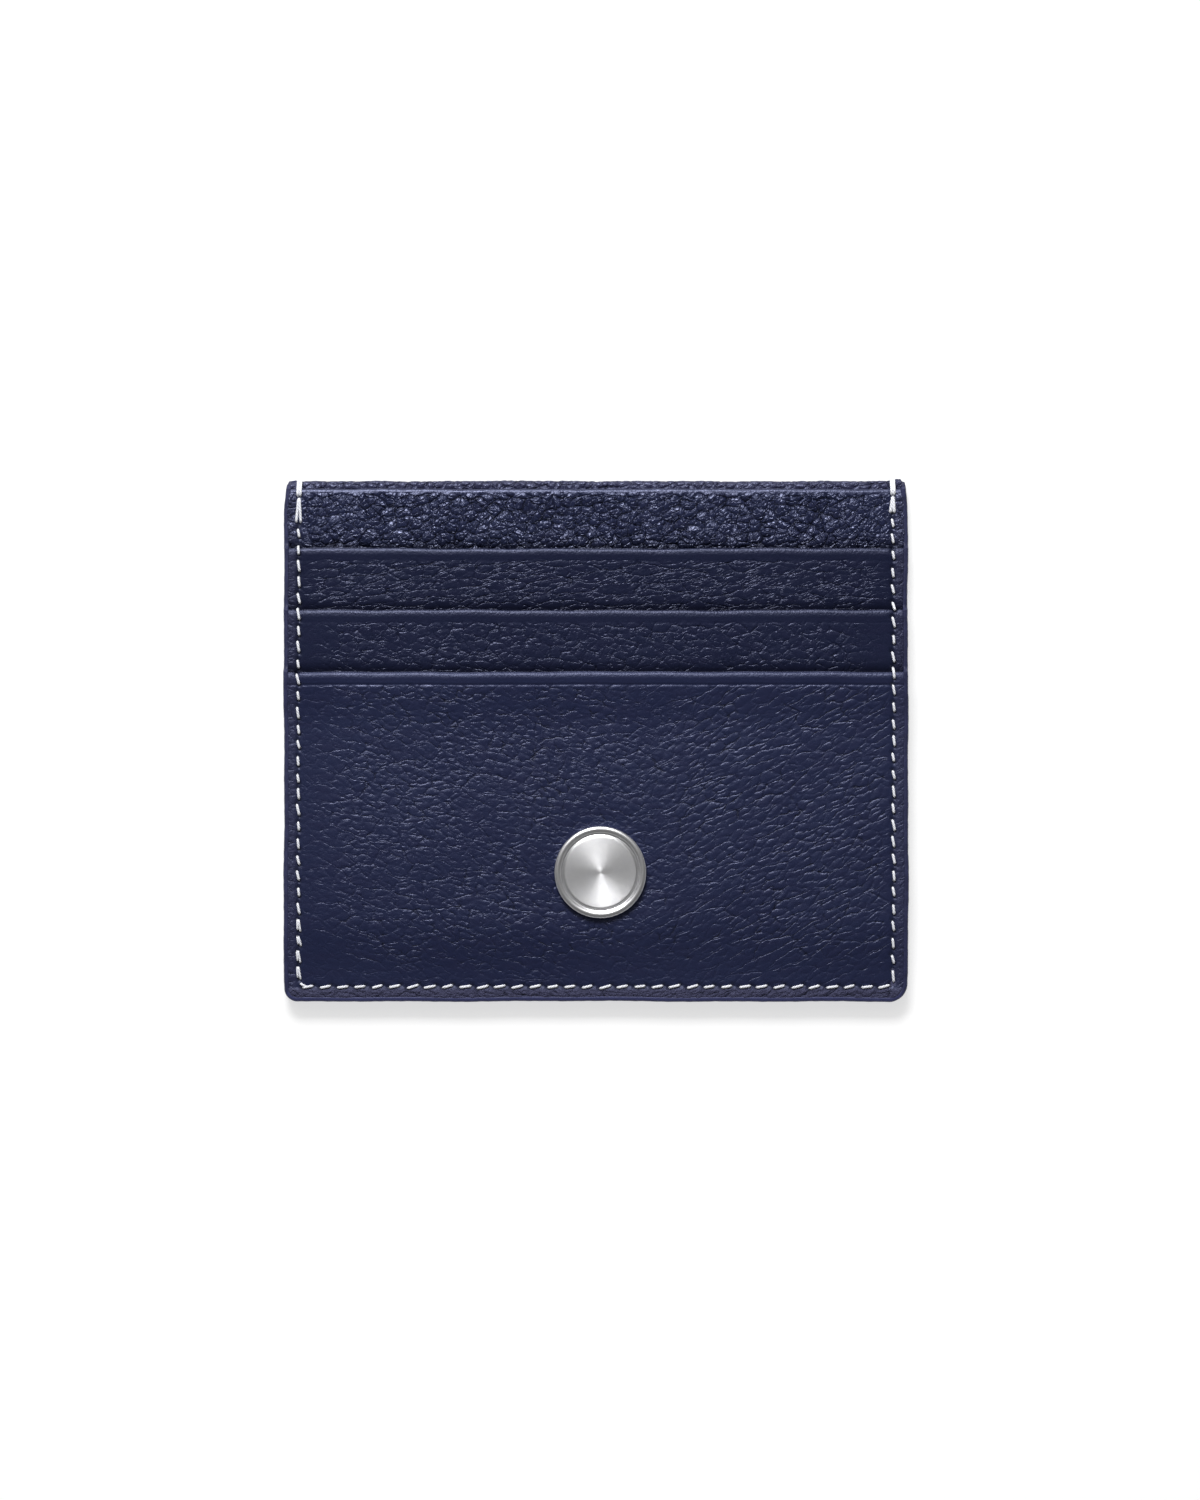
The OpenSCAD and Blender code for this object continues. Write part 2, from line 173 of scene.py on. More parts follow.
# Node trees. A Wire is a socket that takes part in plain arithmetic.
class Wire:
    def __init__(self, graph, socket):
        self.graph, self.socket = graph, socket

    def math(self, operation, *values):
        return self.graph.add("ShaderNodeMath", {"operation": operation}, dict(enumerate(values)))

    def through(self, operation):
        return self.math(operation, self)

    __add__, __radd__ = arithmetic("ADD"), arithmetic("ADD", True)
    __sub__, __rsub__ = arithmetic("SUBTRACT"), arithmetic("SUBTRACT", True)
    __mul__, __rmul__ = arithmetic("MULTIPLY"), arithmetic("MULTIPLY", True)
    __truediv__, __pow__ = arithmetic("DIVIDE"), arithmetic("POWER")


class Graph:
    def __init__(self, tree):
        self.tree = tree
        tree.nodes.clear()

    def add(self, kind, settings=None, values=None, out=0):
        node = self.tree.nodes.new(kind)
        for name, setting in (settings or {}).items():
            setattr(node, name, setting)
        for name, value in (values or {}).items():
            if isinstance(value, Wire):
                self.tree.links.new(value.socket, node.inputs[name])
            else:
                node.inputs[name].default_value = value
        return Wire(self, node.outputs[out]) if len(node.outputs) else node

    def vector(self, operation, first, second):
        slot = "Scale" if operation == "SCALE" else 1
        return self.add("ShaderNodeVectorMath", {"operation": operation}, {0: first, slot: second})

    def ease(self, value, low, high, start=0.0, end=1.0):
        return self.add("ShaderNodeMapRange", {"interpolation_type": "SMOOTHSTEP"},
                        {0: value, 1: low, 2: high, 3: start, 4: end})

    def mixColour(self, amount, first, second):
        ends = [c if isinstance(c, Wire) else (*c, 1) for c in (first, second)]
        return self.add("ShaderNodeMix", {"data_type": "RGBA"},
                        {0: amount, 6: ends[0], 7: ends[1]}, out=2)

    def noise(self, point, scale, detail=2.0, rough=0.5, out=0):
        return self.add("ShaderNodeTexNoise", None,
                        {"Vector": point, "Scale": scale, "Detail": detail, "Roughness": rough}, out)

    def attribute(self, name):
        return self.add("ShaderNodeAttribute", {"attribute_name": name}, out=2)

    def split(self, point):
        node = self.add("ShaderNodeSeparateXYZ", None, {0: point}).socket.node
        return [Wire(self, s) for s in node.outputs]


# A point in cell units: one cell is 1 by 1
def cellPoint(g, point, size, turn, shift):
    turned = g.add("ShaderNodeVectorRotate", {"rotation_type": "Z_AXIS"},
                   {"Vector": point, "Angle": math.radians(-turn)})
    cells = g.vector("MULTIPLY", turned, (1 / size[0], 1 / size[1], 0))
    return g.vector("ADD", cells, (shift, shift * 0.7, 0))


# What all grains share: reaches in cells, noise scales per millimetre
pebbles = {"random": 0.95, "domeReach": 0.45, "fineReach": 0.2, "fineTurn": 20, "creaseDepth": 0.45,
           "fleck": 0.75, "fleckEdge": (0.4, 0.62), "patch": 0.16, "patchEdge": (0.3, 0.62, 0.45, 1.0),
           "breakEdge": (0.38, 0.58, 0.12, 1.0)}


# How far a point is from the nearest border between cells, 0 on the border
def cellGap(g, point, size, turn, shift):
    here = cellPoint(g, point, size, turn, shift)
    return g.add("ShaderNodeTexVoronoi", {"voronoi_dimensions": "2D", "feature": "DISTANCE_TO_EDGE"},
                 {"Vector": here, "Scale": 1.0, "Randomness": pebbles["random"]})


# Every cell leans its own way, like a small flat facet
def cellLean(g, point, size, turn, shift):
    here = cellPoint(g, point, size, turn, shift)
    found = g.add("ShaderNodeTexVoronoi", {"voronoi_dimensions": "2D"},
                  {"Vector": here, "Scale": 1.0, "Randomness": pebbles["random"]}).socket.node.outputs
    apart = g.vector("SUBTRACT", here, Wire(g, found["Position"]))
    lean = g.vector("SUBTRACT", Wire(g, found["Color"]), (0.5, 0.5, 0.5))
    return g.add("ShaderNodeVectorMath", {"operation": "DOT_PRODUCT"}, {0: apart, 1: lean}, out=1)


# One pebbled grain: cells with creases between them, finer cells on top, and a few long creases
def cellGrain(g, point, grain):
    bend = g.noise(point, grain["wanderScale"], 2.0, out=1)
    bend = g.vector("SCALE", g.vector("SUBTRACT", bend, (0.5, 0.5, 0.5)), grain["wander"])
    moved = g.vector("ADD", point, bend)
    turn, shift = grain["turn"], grain["shift"]
    fineCell = tuple(side / grain["fineScale"] for side in grain["cell"])
    gap = cellGap(g, moved, grain["cell"], turn, shift)
    fineGap = cellGap(g, moved, fineCell, turn + pebbles["fineTurn"], shift + 5)
    longGap = cellGap(g, moved, grain["long"], grain["longTurn"], shift + 9)
    fleck = g.ease(g.noise(point, pebbles["fleck"]), *pebbles["fleckEdge"], grain["faint"], 1.0)
    patch = g.ease(g.noise(point, pebbles["patch"]), *pebbles["patchEdge"])
    crease = (1 - g.ease(gap, 0.0, grain["creaseW"])) * fleck
    dome = 1 - g.ease(gap, 0.0, pebbles["domeReach"])
    fine = 1 - g.ease(fineGap, 0.0, pebbles["fineReach"])
    breaks = g.ease(g.noise(point, grain["breaks"]), *pebbles["breakEdge"])
    long = (1 - g.ease(longGap, 0.0, grain["longW"])) * breaks
    relief = (crease * pebbles["creaseDepth"] + dome * grain["dome"]) * patch + fine * grain["fine"] * fleck
    facet = cellLean(g, moved, grain["cell"], turn, shift) * patch * grain["facet"]
    return 1 - relief - long * grain["deep"] + facet


# The grain of one piece of leather, 1 on top of the pebbles
def leatherHeight(g, point, leather):
    height = cellGrain(g, point, leather["grain"])
    if "flow" in leather:  # another grain takes over towards the right
        drift = g.noise(point, 0.09, 1.0) * 24 - 12
        side = g.ease(g.split(point)[0] + drift, *leather["flowFrom"])
        other = cellGrain(g, point, leather["flow"])
        height = height * (1 - side) + other * side
    if "wrinkle" in leather:  # a soft patch of upright folds
        x, y, z = g.split(point)
        fold = leather["wrinkle"]
        across = (x - fold["x"]) / fold["width"]
        along = (y - fold["y"]) / fold["length"]
        here = ((across * across + along * along) * -1).through("EXPONENT")
        lines = g.noise(g.vector("MULTIPLY", point, (1.0, 0.16, 0)), 1.15, 2.0)
        height = height - g.ease(lines, 0.42, 0.56) * here * fold["depth"]
    return height


def newMaterial(name):
    made = bpy.data.materials.new(name)
    made.use_nodes = True
    g = Graph(made.node_tree)
    return made, g


def millimetres(g):
    return g.vector("SCALE", g.add("ShaderNodeTexCoord", out=3), 1 / mm)


# The common end of every material. The relief is in millimetres.
def finishMaterial(made, g, colour, rough, relief=None, extra=None):
    values = {"Base Color": colour, "Roughness": rough, **(extra or {})}
    if relief is not None:
        values["Normal"] = g.add("ShaderNodeBump", None, {"Height": relief, "Distance": mm})
    shader = g.add("ShaderNodeBsdfPrincipled", None, values)
    g.add("ShaderNodeOutputMaterial", None, {"Surface": shader})
    return made


def shaded(colour, share):
    return tuple(share * c for c in colour)


# Colours of the navy leather; the crease, tuck and shade colours are painted shade
leatherLook = {
    "crease": (0.0022, 0.0032, 0.0125), "top": (0.0088, 0.012, 0.038), "pale": (0.0122, 0.0165, 0.046),
    "plum": (0.029, 0.0285, 0.063), "dye": (0.014, 0.0155, 0.043), "shade": (0.001, 0.0015, 0.0062),
    "tuckShade": (0.0013, 0.0018, 0.0085), "tint": (0.64, 0.69, 1.0),
    "share": {"pale": 0.5, "dye": 0.5, "plum": 0.36, "tuckShade": 0.95, "pit": 0.88},
    "relief": {"pores": 0.012, "mottle": 0.035, "crinkle": 0.11},
    "noise": {"patches": (0.07, 3.0), "dye": (0.55, 3.0, 0.6), "mottle": (1.7, 3.0, 0.6),
              "pores": (5.5, 3.0, 0.65), "crinkle": (2.3, 3.0, 0.6)},
    "rough": {"base": 0.36, "pressed": 0.15, "pores": 0.12, "pit": 0.3, "edge": 0.08, "dye": 0.16}}


def leatherMaterial(name, leather):
    made, g = newMaterial(name)
    look, share = leatherLook, leatherLook["share"]
    tone = leather["tone"]
    point = millimetres(g)
    height = leatherHeight(g, point, leather)
    amount, pit, tuckShade, margin, edge = (
        g.attribute(key) for key in ("grainAmount", "pit", "tuckShade", "margin", "edge"))
    noise, depth = look["noise"], look["relief"]
    patches = g.ease(g.noise(point, *noise["patches"]), 0.35, 0.7)
    dye = g.noise(g.vector("MULTIPLY", point, (0.45, 1.5, 1)), *noise["dye"])
    mottle, pores, crinkle = (g.noise(point, *noise[key]) for key in ("mottle", "pores", "crinkle"))
    pressed = (1 - height) * amount.math("MINIMUM", amount, 0.85)
    colour = g.mixColour(patches * share["pale"], shaded(look["top"], tone), shaded(look["pale"], tone))
    colour = g.mixColour(g.ease(dye, 0.38, 0.7) * share["dye"], colour, shaded(look["dye"], tone ** 0.6))
    # the seam margins are mixed towards a paler plum: the margin leather's own tint at the sides, and painted
    # light along the foot, which faces away from the key lamp
    colour = g.mixColour(margin * share["plum"], colour, look["plum"])
    # painted shade: the creases of the grain are darkened towards the crease colour
    colour = g.mixColour(g.ease(pressed, 0.3, 0.95), colour, look["crease"])
    # painted shade: the leather is darkened above each mouth, where the next layer lies on it
    colour = g.mixColour(tuckShade * share["tuckShade"], colour, look["tuckShade"])
    colour = g.mixColour(pit * share["pit"], colour, look["shade"])
    detail = pores * depth["pores"] + mottle * depth["mottle"] + crinkle * edge * depth["crinkle"]
    relief = (height - leather["mean"]) * amount * leather["bump"] + detail
    rough = look["rough"]["base"] - leather["gloss"] - dye * look["rough"]["dye"]
    for key, cause in (("pressed", pressed), ("pores", pores), ("pit", pit), ("edge", edge)):
        rough = rough + cause * look["rough"][key]
    return finishMaterial(made, g, colour, rough, relief, {
        "Specular IOR Level": leather["shine"], "Specular Tint": (*look["tint"], 1)})


# Real relief: the same grain moves the mesh along its normals
def pressGrain(piece, leather):
    tree = bpy.data.node_groups.new(piece.name + "Grain", "GeometryNodeTree")
    tree.interface.new_socket("Geometry", in_out="INPUT", socket_type="NodeSocketGeometry")
    tree.interface.new_socket("Geometry", in_out="OUTPUT", socket_type="NodeSocketGeometry")
    g = Graph(tree)
    point = g.vector("SCALE", g.add("GeometryNodeInputPosition"), 1 / mm)
    height = leatherHeight(g, point, leather)
    amount = g.add("GeometryNodeInputNamedAttribute", {"data_type": "FLOAT"}, {"Name": "grainAmount"})
    depth = (height - leather["mean"]) * amount * (leather["depth"] * mm)
    offset = g.vector("SCALE", g.add("GeometryNodeInputNormal"), depth)
    moved = g.add("GeometryNodeSetPosition", None,
                  {"Geometry": g.add("NodeGroupInput"), "Offset": offset})
    g.add("NodeGroupOutput", None, {0: moved})
    piece.modifiers.new("grain", "NODES").node_group = tree
    view = bpy.context.evaluated_depsgraph_get()
    view.update()
    pressed = bpy.data.meshes.new_from_object(piece.evaluated_get(view))
    piece.modifiers.clear()
    piece.data = pressed
    bpy.data.node_groups.remove(tree)


# Meshes
def newPiece(name, points, faces, material, attributes=None, uv=None):
    mesh = bpy.data.meshes.new(name)
    mesh.from_pydata((np.asarray(points, float) * mm).tolist(), [], faces)
    mesh.polygons.foreach_set("use_smooth", np.ones(len(mesh.polygons), bool))
    for key, values in (attributes or {}).items():
        mesh.attributes.new(key, "FLOAT", "POINT").data.foreach_set("value", np.ravel(values))
    if uv is not None:
        layer = mesh.uv_layers.new(name="OFBake")
        corners = np.zeros(len(mesh.loops), np.int32)
        mesh.loops.foreach_get("vertex_index", corners)
        layer.uv.foreach_set("vector", uv(corners, len(mesh.loops)).ravel())
    mesh.materials.append(material)
    mesh.update()
    piece = bpy.data.objects.new(name, mesh)
    bpy.context.scene.collection.objects.link(piece)
    return piece


def spaced(start, end, step):
    return np.linspace(start, end, max(2, int(round((end - start) / step)) + 1))


# Columns across the holder, closer together along the two side seams
def columns(step):
    inner, outer = seamX - 1.3, seamX + 1.2
    half = np.concatenate([spaced(0, inner, step)[:-1], spaced(inner, outer, 0.13)[:-1],
                           spaced(outer, skinW, 0.14)])
    return np.concatenate([-half[:0:-1], half]) / skinW


def unit(arrows):
    return arrows / np.linalg.norm(arrows, axis=1, keepdims=True)


def lengthsAlong(line):
    return np.concatenate([[0], np.cumsum(np.linalg.norm(np.diff(line, axis=0), axis=1))])


# The four-sided faces of a grid whose rows close into rings
def ringFaces(index):
    a, b = index[:-1], index[1:]
    return np.stack([a, np.roll(a, -1, 1), np.roll(b, -1, 1), b], -1).reshape(-1, 4).tolist()


# Each end of the mouth is locked by two doubled stitches: one over the top edge, one below it
tack = {"reach": {-1: (2.45, 7.1), 1: (2.3, 5.35)}, "x": seamX,
        "strand": {-1: 0.22, 1: 0.27}, "spread": {-1: 0.44, 1: 0.34}, "lean": 0.34, "next": 0.45}
sideStitch = {"length": 1.8, "vary": (0.78, 1.14), "middle": 0.95, "slip": 0.12, "stray": 0.07,
              "lean": 10.5, "leanVary": (0.4, 1.5), "stop": 1.2}
footStitch = {"length": 1.95, "vary": (0.9, 1.06), "slip": 0.08, "stray": 0.06,
              "lean": 12.5, "leanVary": (0.5, 1.5)}


# Stitches: every one is a start and an end in the plane, in millimetres
def sideStitches(side, rng):
    found, kind = [], sideStitch
    t = tack["reach"][side][1] + tack["next"]
    while t < seamT - kind["stop"]:
        length = kind["length"] * rng.uniform(*kind["vary"])
        middle = t + kind["middle"] + rng.uniform(-kind["slip"], kind["slip"])
        lean = math.radians(kind["lean"] * rng.uniform(*kind["leanVary"]))
        x = side * seamX + rng.uniform(-kind["stray"], kind["stray"])
        dx, dt = math.sin(lean) * length / 2, math.cos(lean) * length / 2
        found.append(((x - dx, middle - dt), (x + dx, middle + dt)))
        t += seam["pitch"][side]
    return found


def bottomStitches(rng):
    found, kind = [], footStitch
    run = 2 * seamX
    count = int(round(run / seam["bottomPitch"]))
    for i in range(count):
        length = kind["length"] * rng.uniform(*kind["vary"])
        x = -seamX + (i + 0.5) * run / count + rng.uniform(-kind["slip"], kind["slip"])
        t = seamT + rng.uniform(-kind["stray"], kind["stray"])
        lean = math.radians(kind["lean"] * rng.uniform(*kind["leanVary"]))
        dx, dt = math.cos(lean) * length / 2, -math.sin(lean) * length / 2
        found.append(((x - dx, t - dt), (x + dx, t + dt)))
    return found


rng = np.random.default_rng(seam["seed"])
frontStitches = sideStitches(-1, rng) + sideStitches(1, rng) + bottomStitches(rng)
backStitches = sideStitches(-1, rng) + sideStitches(1, rng) + bottomStitches(rng)
tackHoles = [(side * tack["x"], t) for side in (-1, 1) for t in tack["reach"][side]]


def pits(x, y, stitches):
    t, reach = topY - y, seam["holeReach"]
    found = np.zeros_like(x)
    for hole in [end for stitch in stitches for end in stitch] + tackHoles:
        near = (np.abs(x - hole[0]) < reach) & (np.abs(t - hole[1]) < reach)
        apart = (x[near] - hole[0]) ** 2 + (t[near] - hole[1]) ** 2
        found[near] += np.exp(-apart / (2 * seam["hole"] ** 2))
    return np.clip(found, 0, seam["holeMost"])


def trough(x, y):
    t, width, past = topY - y, seam["troughWidth"], seam["troughEnd"]
    side = np.exp(-((np.abs(x) - seamX) / width) ** 2) * (t < seamT + past)
    foot = np.exp(-((t - seamT) / width) ** 2) * (np.abs(x) < seamX + past)
    return np.maximum(side, foot)


def marginMask(x, y):
    # 0 inside the seams, 1 outside them and more along the foot; the extra along the foot makes the colour
    # paler as painted light
    sides, foot = (smooth(apart, -0.2, 0.7) for apart in (np.abs(x) - seamX, topY - y - seamT))
    return np.maximum(sides, 2.8 * foot)


# What every leather layer shares
skin = {"bends": 13, "upright": 0.1, "fineStep": 0.13, "mouthRows": 2.8, "footRows": 3.6, "rim": 0.5,
        "rimBends": 7, "underStep": 4.0, "edgeDrop": 0.14, "edgeWidth": 0.4, "creaseAt": 2.05,
        "creaseWidth": 0.17, "dip": 0.2, "dipOver": 1.5, "pit": 0.26, "rollOver": (0.1, 1.15), "waveOver": 3,
        "troughGrain": 0.7, "grainOver": 0.9, "tuckShade": ((0.3, 3.2, 0.8), (0.65, 1.0, 0.2)),
        "lip": {"size": 0.7, "at": 0.4, "width": 0.7}}


def bottomRim():
    # the rows that turn down over the bottom edge
    return leatherEnd - skin["rim"] * (1 - np.sin(np.linspace(0, np.pi / 2, skin["rimBends"])))


# A leather layer: a section that runs round the mouth's nose, over the top and back below,
# swept across the width. Closed at both sides.
def leatherPiece(name, layer, material):
    start, end, shown = layer["start"], layer["end"], layer["shown"]
    wholeHeight = shown >= leatherEnd
    r, reach, bends = layer["thickness"] / 2, layer["nose"], skin["bends"]
    angle = np.linspace(0, np.pi, bends)
    bend = np.where(angle < np.pi / 2, skin["upright"], reach)  # the lower half stays nearly upright
    noseT, noseZ = start + bend * (1 - np.sin(angle)), -r - r * np.cos(angle)
    fine, coarse = layer["step"]
    mouthEnd = start + skin["mouthRows"]
    rows = [spaced(start + reach, mouthEnd, skin["fineStep"])[1:-1]]
    if wholeHeight:
        footStart = end - skin["footRows"]
        rows += [spaced(mouthEnd, footStart, fine)[:-1],
                 spaced(footStart, end - skin["rim"], skin["fineStep"])[:-1], bottomRim()]
    else:
        rows += [spaced(mouthEnd, shown + 0.5, fine), spaced(shown + 0.5, end, coarse)[1:]]
    flatT = np.concatenate(rows)
    under = spaced(end, start + 0.5, skin["underStep"])[:-1]
    rowT = np.concatenate([noseT, flatT, under])
    isTop = np.concatenate([angle > np.pi / 2, np.ones(len(flatT), bool), np.zeros(len(under), bool)])
    topZ = layer["top"](rowT)
    z = np.concatenate([topZ[:bends] + noseZ, topZ[bends:bends + len(flatT)], layer["under"](under)])
    amount = np.where(isTop, smooth(rowT - start - layer["band"], 0, skin["grainOver"]), 0)
    amount[:bends] = 0
    if not wholeHeight:
        amount = amount * (1 - smooth(rowT, shown - 0.1, shown + 0.5))
    gridU, gridT = np.meshgrid(columns(fine), rowT, indexing="ij")
    x, y = place(gridU, gridT)
    y = y + layer["mouthWave"](x) * np.exp(-np.maximum(gridT - start, 0) / skin["waveOver"])
    top = np.broadcast_to(isTop, x.shape)
    edge = np.minimum(sideX(1, gridT) - x, x - sideX(-1, gridT))
    if wholeHeight:
        edge = np.minimum(edge, end - gridT)
    lift = layer["swell"](x, y) - skin["edgeDrop"] * (1 - smooth(edge, 0, skin["edgeWidth"])) ** 2
    crease = layer["crease"] * np.exp(-((gridT - start - skin["creaseAt"]) / skin["creaseWidth"]) ** 2)
    tuckShade, dip = np.zeros_like(x), 0
    if not wholeHeight:  # painted shade and a real dip: darker and a little lower where the next mouth lies on it
        tuckShade = sum(share * smooth(gridT, shown - far, shown - near) for share, far, near in skin["tuckShade"])
        dip = skin["dip"] * smooth(gridT, shown - skin["dipOver"], shown)
    pit = pits(x, y, frontStitches) * top
    rollFrom, rollTo = skin["rollOver"]
    roll = layer["roll"] * (1 - smooth(gridT, start + rollFrom, start + rollTo))
    lift = lift - crease - dip - roll - seam["trough"] * trough(x, y) - skin["pit"] * pit
    gridZ = np.broadcast_to(z, x.shape) + lift * top
    margin = marginMask(x, y)
    lip = skin["lip"]
    lip = lip["size"] * np.exp(-((gridT - start - lip["at"]) / lip["width"]) ** 2)
    amount = amount * layer["quiet"](x, y) * (1 - skin["troughGrain"] * trough(x, y))
    attributes = {"grainAmount": amount, "pit": pit, "tuckShade": tuckShade * top, "margin": margin * top,
                  "edge": np.maximum(margin, lip) * top}
    return sweptPiece(name, x, y, gridZ, attributes, isTop, material, rowT, bends // 2)


def endFaces(ring, t, tip):
    # triangles laced between the two chains that leave the nose, so that none lies along the skin
    n, faces = len(ring), []
    ahead, behind = (tip + 1) % n, (tip - 1) % n
    faces.append((ring[behind], ring[tip], ring[ahead]))
    while (ahead + 1) % n != behind:
        if t[(ahead + 1) % n] <= t[(behind - 1) % n]:
            faces.append((ring[behind], ring[ahead], ring[(ahead + 1) % n]))
            ahead = (ahead + 1) % n
        else:
            faces.append((ring[(behind - 1) % n], ring[behind], ring[ahead]))
            behind = (behind - 1) % n
    return faces


def sweptPiece(name, x, y, z, attributes, isTop, material, rowT, tip):
    nu, nv = x.shape
    index = np.arange(nu * nv).reshape(nu, nv)
    quads = ringFaces(index)
    points = np.stack([x, y, z], -1).reshape(-1, 3)
    ends = endFaces(range(nv), rowT, tip)
    caps = [tuple(int(index[0][i]) for i in face[::-1]) for face in ends]
    caps += [tuple(int(index[-1][i]) for i in face) for face in ends]
    middleY, middleZ = y[nu // 2], z[nu // 2]
    length = np.hypot(np.diff(middleY, append=middleY[:1]), np.diff(middleZ, append=middleZ[:1]))
    along = np.concatenate([[0], np.cumsum(np.where(isTop, length, length * 0.1))])
    along /= along[-1]
    across = (x[:, nv // 2] - x[:, nv // 2].min()) / np.ptp(x[:, nv // 2])

    def unroll(corners, count):
        flat = np.zeros((count, 2))
        column, row = corners // nv, corners % nv
        flat[:, 0] = 0.01 + 0.94 * across[column]
        flat[:, 1] = along[row]
        body = len(quads) * 4
        quadRow = row[:body].reshape(-1, 4)
        closing = (quadRow == 0) & (quadRow == nv - 1).any(1)[:, None]
        flat[:body][closing.ravel(), 1] = 1.0
        side = np.arange(body, count)  # the two ends lie in strips of their own
        shift = np.where(column[side] == 0, 0.0, 0.02)
        flat[side, 0] = 0.955 + shift + 0.015 * isTop[row[side]]
        flat[side, 1] = (y[column[side], row[side]] - y.min()) / np.ptp(y)
        flat[:, 1] = 0.01 + 0.98 * flat[:, 1]
        return flat

    return newPiece(name, points, quads + caps, material, attributes, unroll)


replacedNodes = set()


def fit(piece, slot, *nodes):
    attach(piece, "root")
    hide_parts(*nodes)
    replacedNodes.update(nodes)
    return piece


def finishLeather(piece, leather, slot, node):
    pressGrain(piece, leather)
    fit(piece, slot, node)
    print(piece.name, "made:", len(piece.data.polygons), "faces")


stripSwell = waves(21, (41, 23), 0.05)
edgeQuiet = waves(31, (19, 11, 7), 1.0)


def stripLift(x, y):
    return 0.04 + stripSwell(x) * 0.8


def seamQuiet(reach, rest=0.12):
    # the grain is pressed flat beside the side seams, in patches
    def quiet(x, y):
        inner = smooth(seamX - np.abs(x) + 0.8 * edgeQuiet(y), 0.6, reach)
        outer = smooth(np.abs(x), seamX + 0.3, seamX + 0.9)
        return rest + (1 - rest) * np.maximum(inner, outer * 0.7)
    return quiet


# The front body, whose band shows above the upper slot: coarse, crisp pebbles
bodyLeather = {
    "bump": 0.4, "depth": 0.17, "mean": 0.66, "tone": 1.05, "gloss": 0.07, "shine": 0.7,
    "grain": {"cell": (1.75, 1.5), "turn": 8, "shift": 3.1, "creaseW": 0.14, "dome": 0.24, "facet": 1.3,
              "fineScale": 2.2, "fine": 0.24, "faint": 0.5, "breaks": 0.9, "deep": 0.4,
              "long": (3.4, 2.3), "longTurn": 55, "longW": 0.05, "wander": 0.9, "wanderScale": 0.7}}
bodyLayer = {"start": mouth["body"], "end": leatherEnd, "shown": mouth["upper"], "thickness": thick["body"],
             "nose": 0.55, "roll": 0.07, "band": 0.5, "crease": 0.0, "step": (0.25, 3.0),
             "swell": stripLift, "quiet": seamQuiet(3.0, 0.6), "mouthWave": waves(41, (57, 21, 9), 0.1),
             "top": lambda t: np.full_like(t, level["body"]),
             "under": lambda t: np.full_like(t, level["body"] - thick["body"])}
finishLeather(leatherPiece("frontBody", bodyLayer, leatherMaterial("bodyLeather", bodyLeather)),
              bodyLeather, "front_leather", "front_body_panel")

# The upper strip: long creases that run across
upperLeather = {
    "bump": 0.15, "depth": 0.1, "mean": 0.84, "tone": 0.7, "gloss": 0.05, "shine": 0.4,
    "grain": {"cell": (3.0, 1.1), "turn": 4, "shift": 7.7, "creaseW": 0.1, "dome": 0.1, "facet": 0.35,
              "fineScale": 2.4, "fine": 0.16, "faint": 0.1, "breaks": 0.9, "deep": 0.55,
              "long": (6.4, 1.6), "longTurn": 4, "longW": 0.07, "wander": 0.95, "wanderScale": 0.5}}
upperEnd = topY - boxOf("upper_slot_leather")[0][1]
upperLayer = {**bodyLayer, "start": mouth["upper"], "end": upperEnd, "shown": mouth["middle"],
              "thickness": thick["strip"], "roll": 0.11, "band": 1.6, "crease": 0.012,
              "quiet": seamQuiet(5.0), "mouthWave": waves(42, (88, 31, 12), 0.14),
              "top": lambda t: np.interp(t, [mouth["middle"] + 0.5, upperEnd],
                                         [level["upper"], level["upper"] - 0.2]),
              "under": lambda t: np.full_like(t, level["upper"] - thick["strip"])}
finishLeather(leatherPiece("upperSlotStrip", upperLayer, leatherMaterial("upperLeather", upperLeather)),
              upperLeather, "front_leather", "upper_slot_leather")

# The middle strip: softer pebbles, nearly smooth towards the sides
middleLeather = {
    "bump": 0.14, "depth": 0.1, "mean": 0.82, "tone": 0.76, "gloss": 0.04, "shine": 0.4,
    "grain": {"cell": (2.0, 1.5), "turn": -6, "shift": 12.4, "creaseW": 0.12, "dome": 0.14, "facet": 0.45,
              "fineScale": 2.5, "fine": 0.17, "faint": 0.1, "breaks": 0.9, "deep": 0.35,
              "long": (4.6, 2.4), "longTurn": -14, "longW": 0.05, "wander": 1.1, "wanderScale": 0.6}}
middleEnd = topY - boxOf("middle_slot_leather")[0][1]
middleBase = boxOf("middle_slot_leather")[0][2]
middleLayer = {**upperLayer, "start": mouth["middle"], "end": middleEnd, "shown": mouth["lower"],
               "crease": 0.014, "quiet": seamQuiet(9.0), "mouthWave": waves(43, (74, 27, 11), 0.14),
               "top": lambda t: np.interp(t, [mouth["lower"] + 0.5, middleEnd],
                                          [level["middle"], middleBase + 0.4]),
               "under": lambda t: np.interp(t, [upperEnd + 0.5, middleEnd],
                                            [level["middle"] - thick["strip"], middleBase + 0.15])}
finishLeather(leatherPiece("middleSlotStrip", middleLayer, leatherMaterial("middleLeather", middleLeather)),
              middleLeather, "front_leather", "middle_slot_leather")

# The lower panel: fine grain that turns into slanting creases on the right
badgeLow, badgeHigh = boxOf("badge")
badgeX, badgeY = (badgeLow[0] + badgeHigh[0]) / 2, (badgeLow[1] + badgeHigh[1]) / 2
badgeR = (badgeHigh[0] - badgeLow[0]) / 2
panelSwellX, panelSwellY = waves(51, (61, 27, 17), 1.0), waves(52, (47, 22), 1.0)


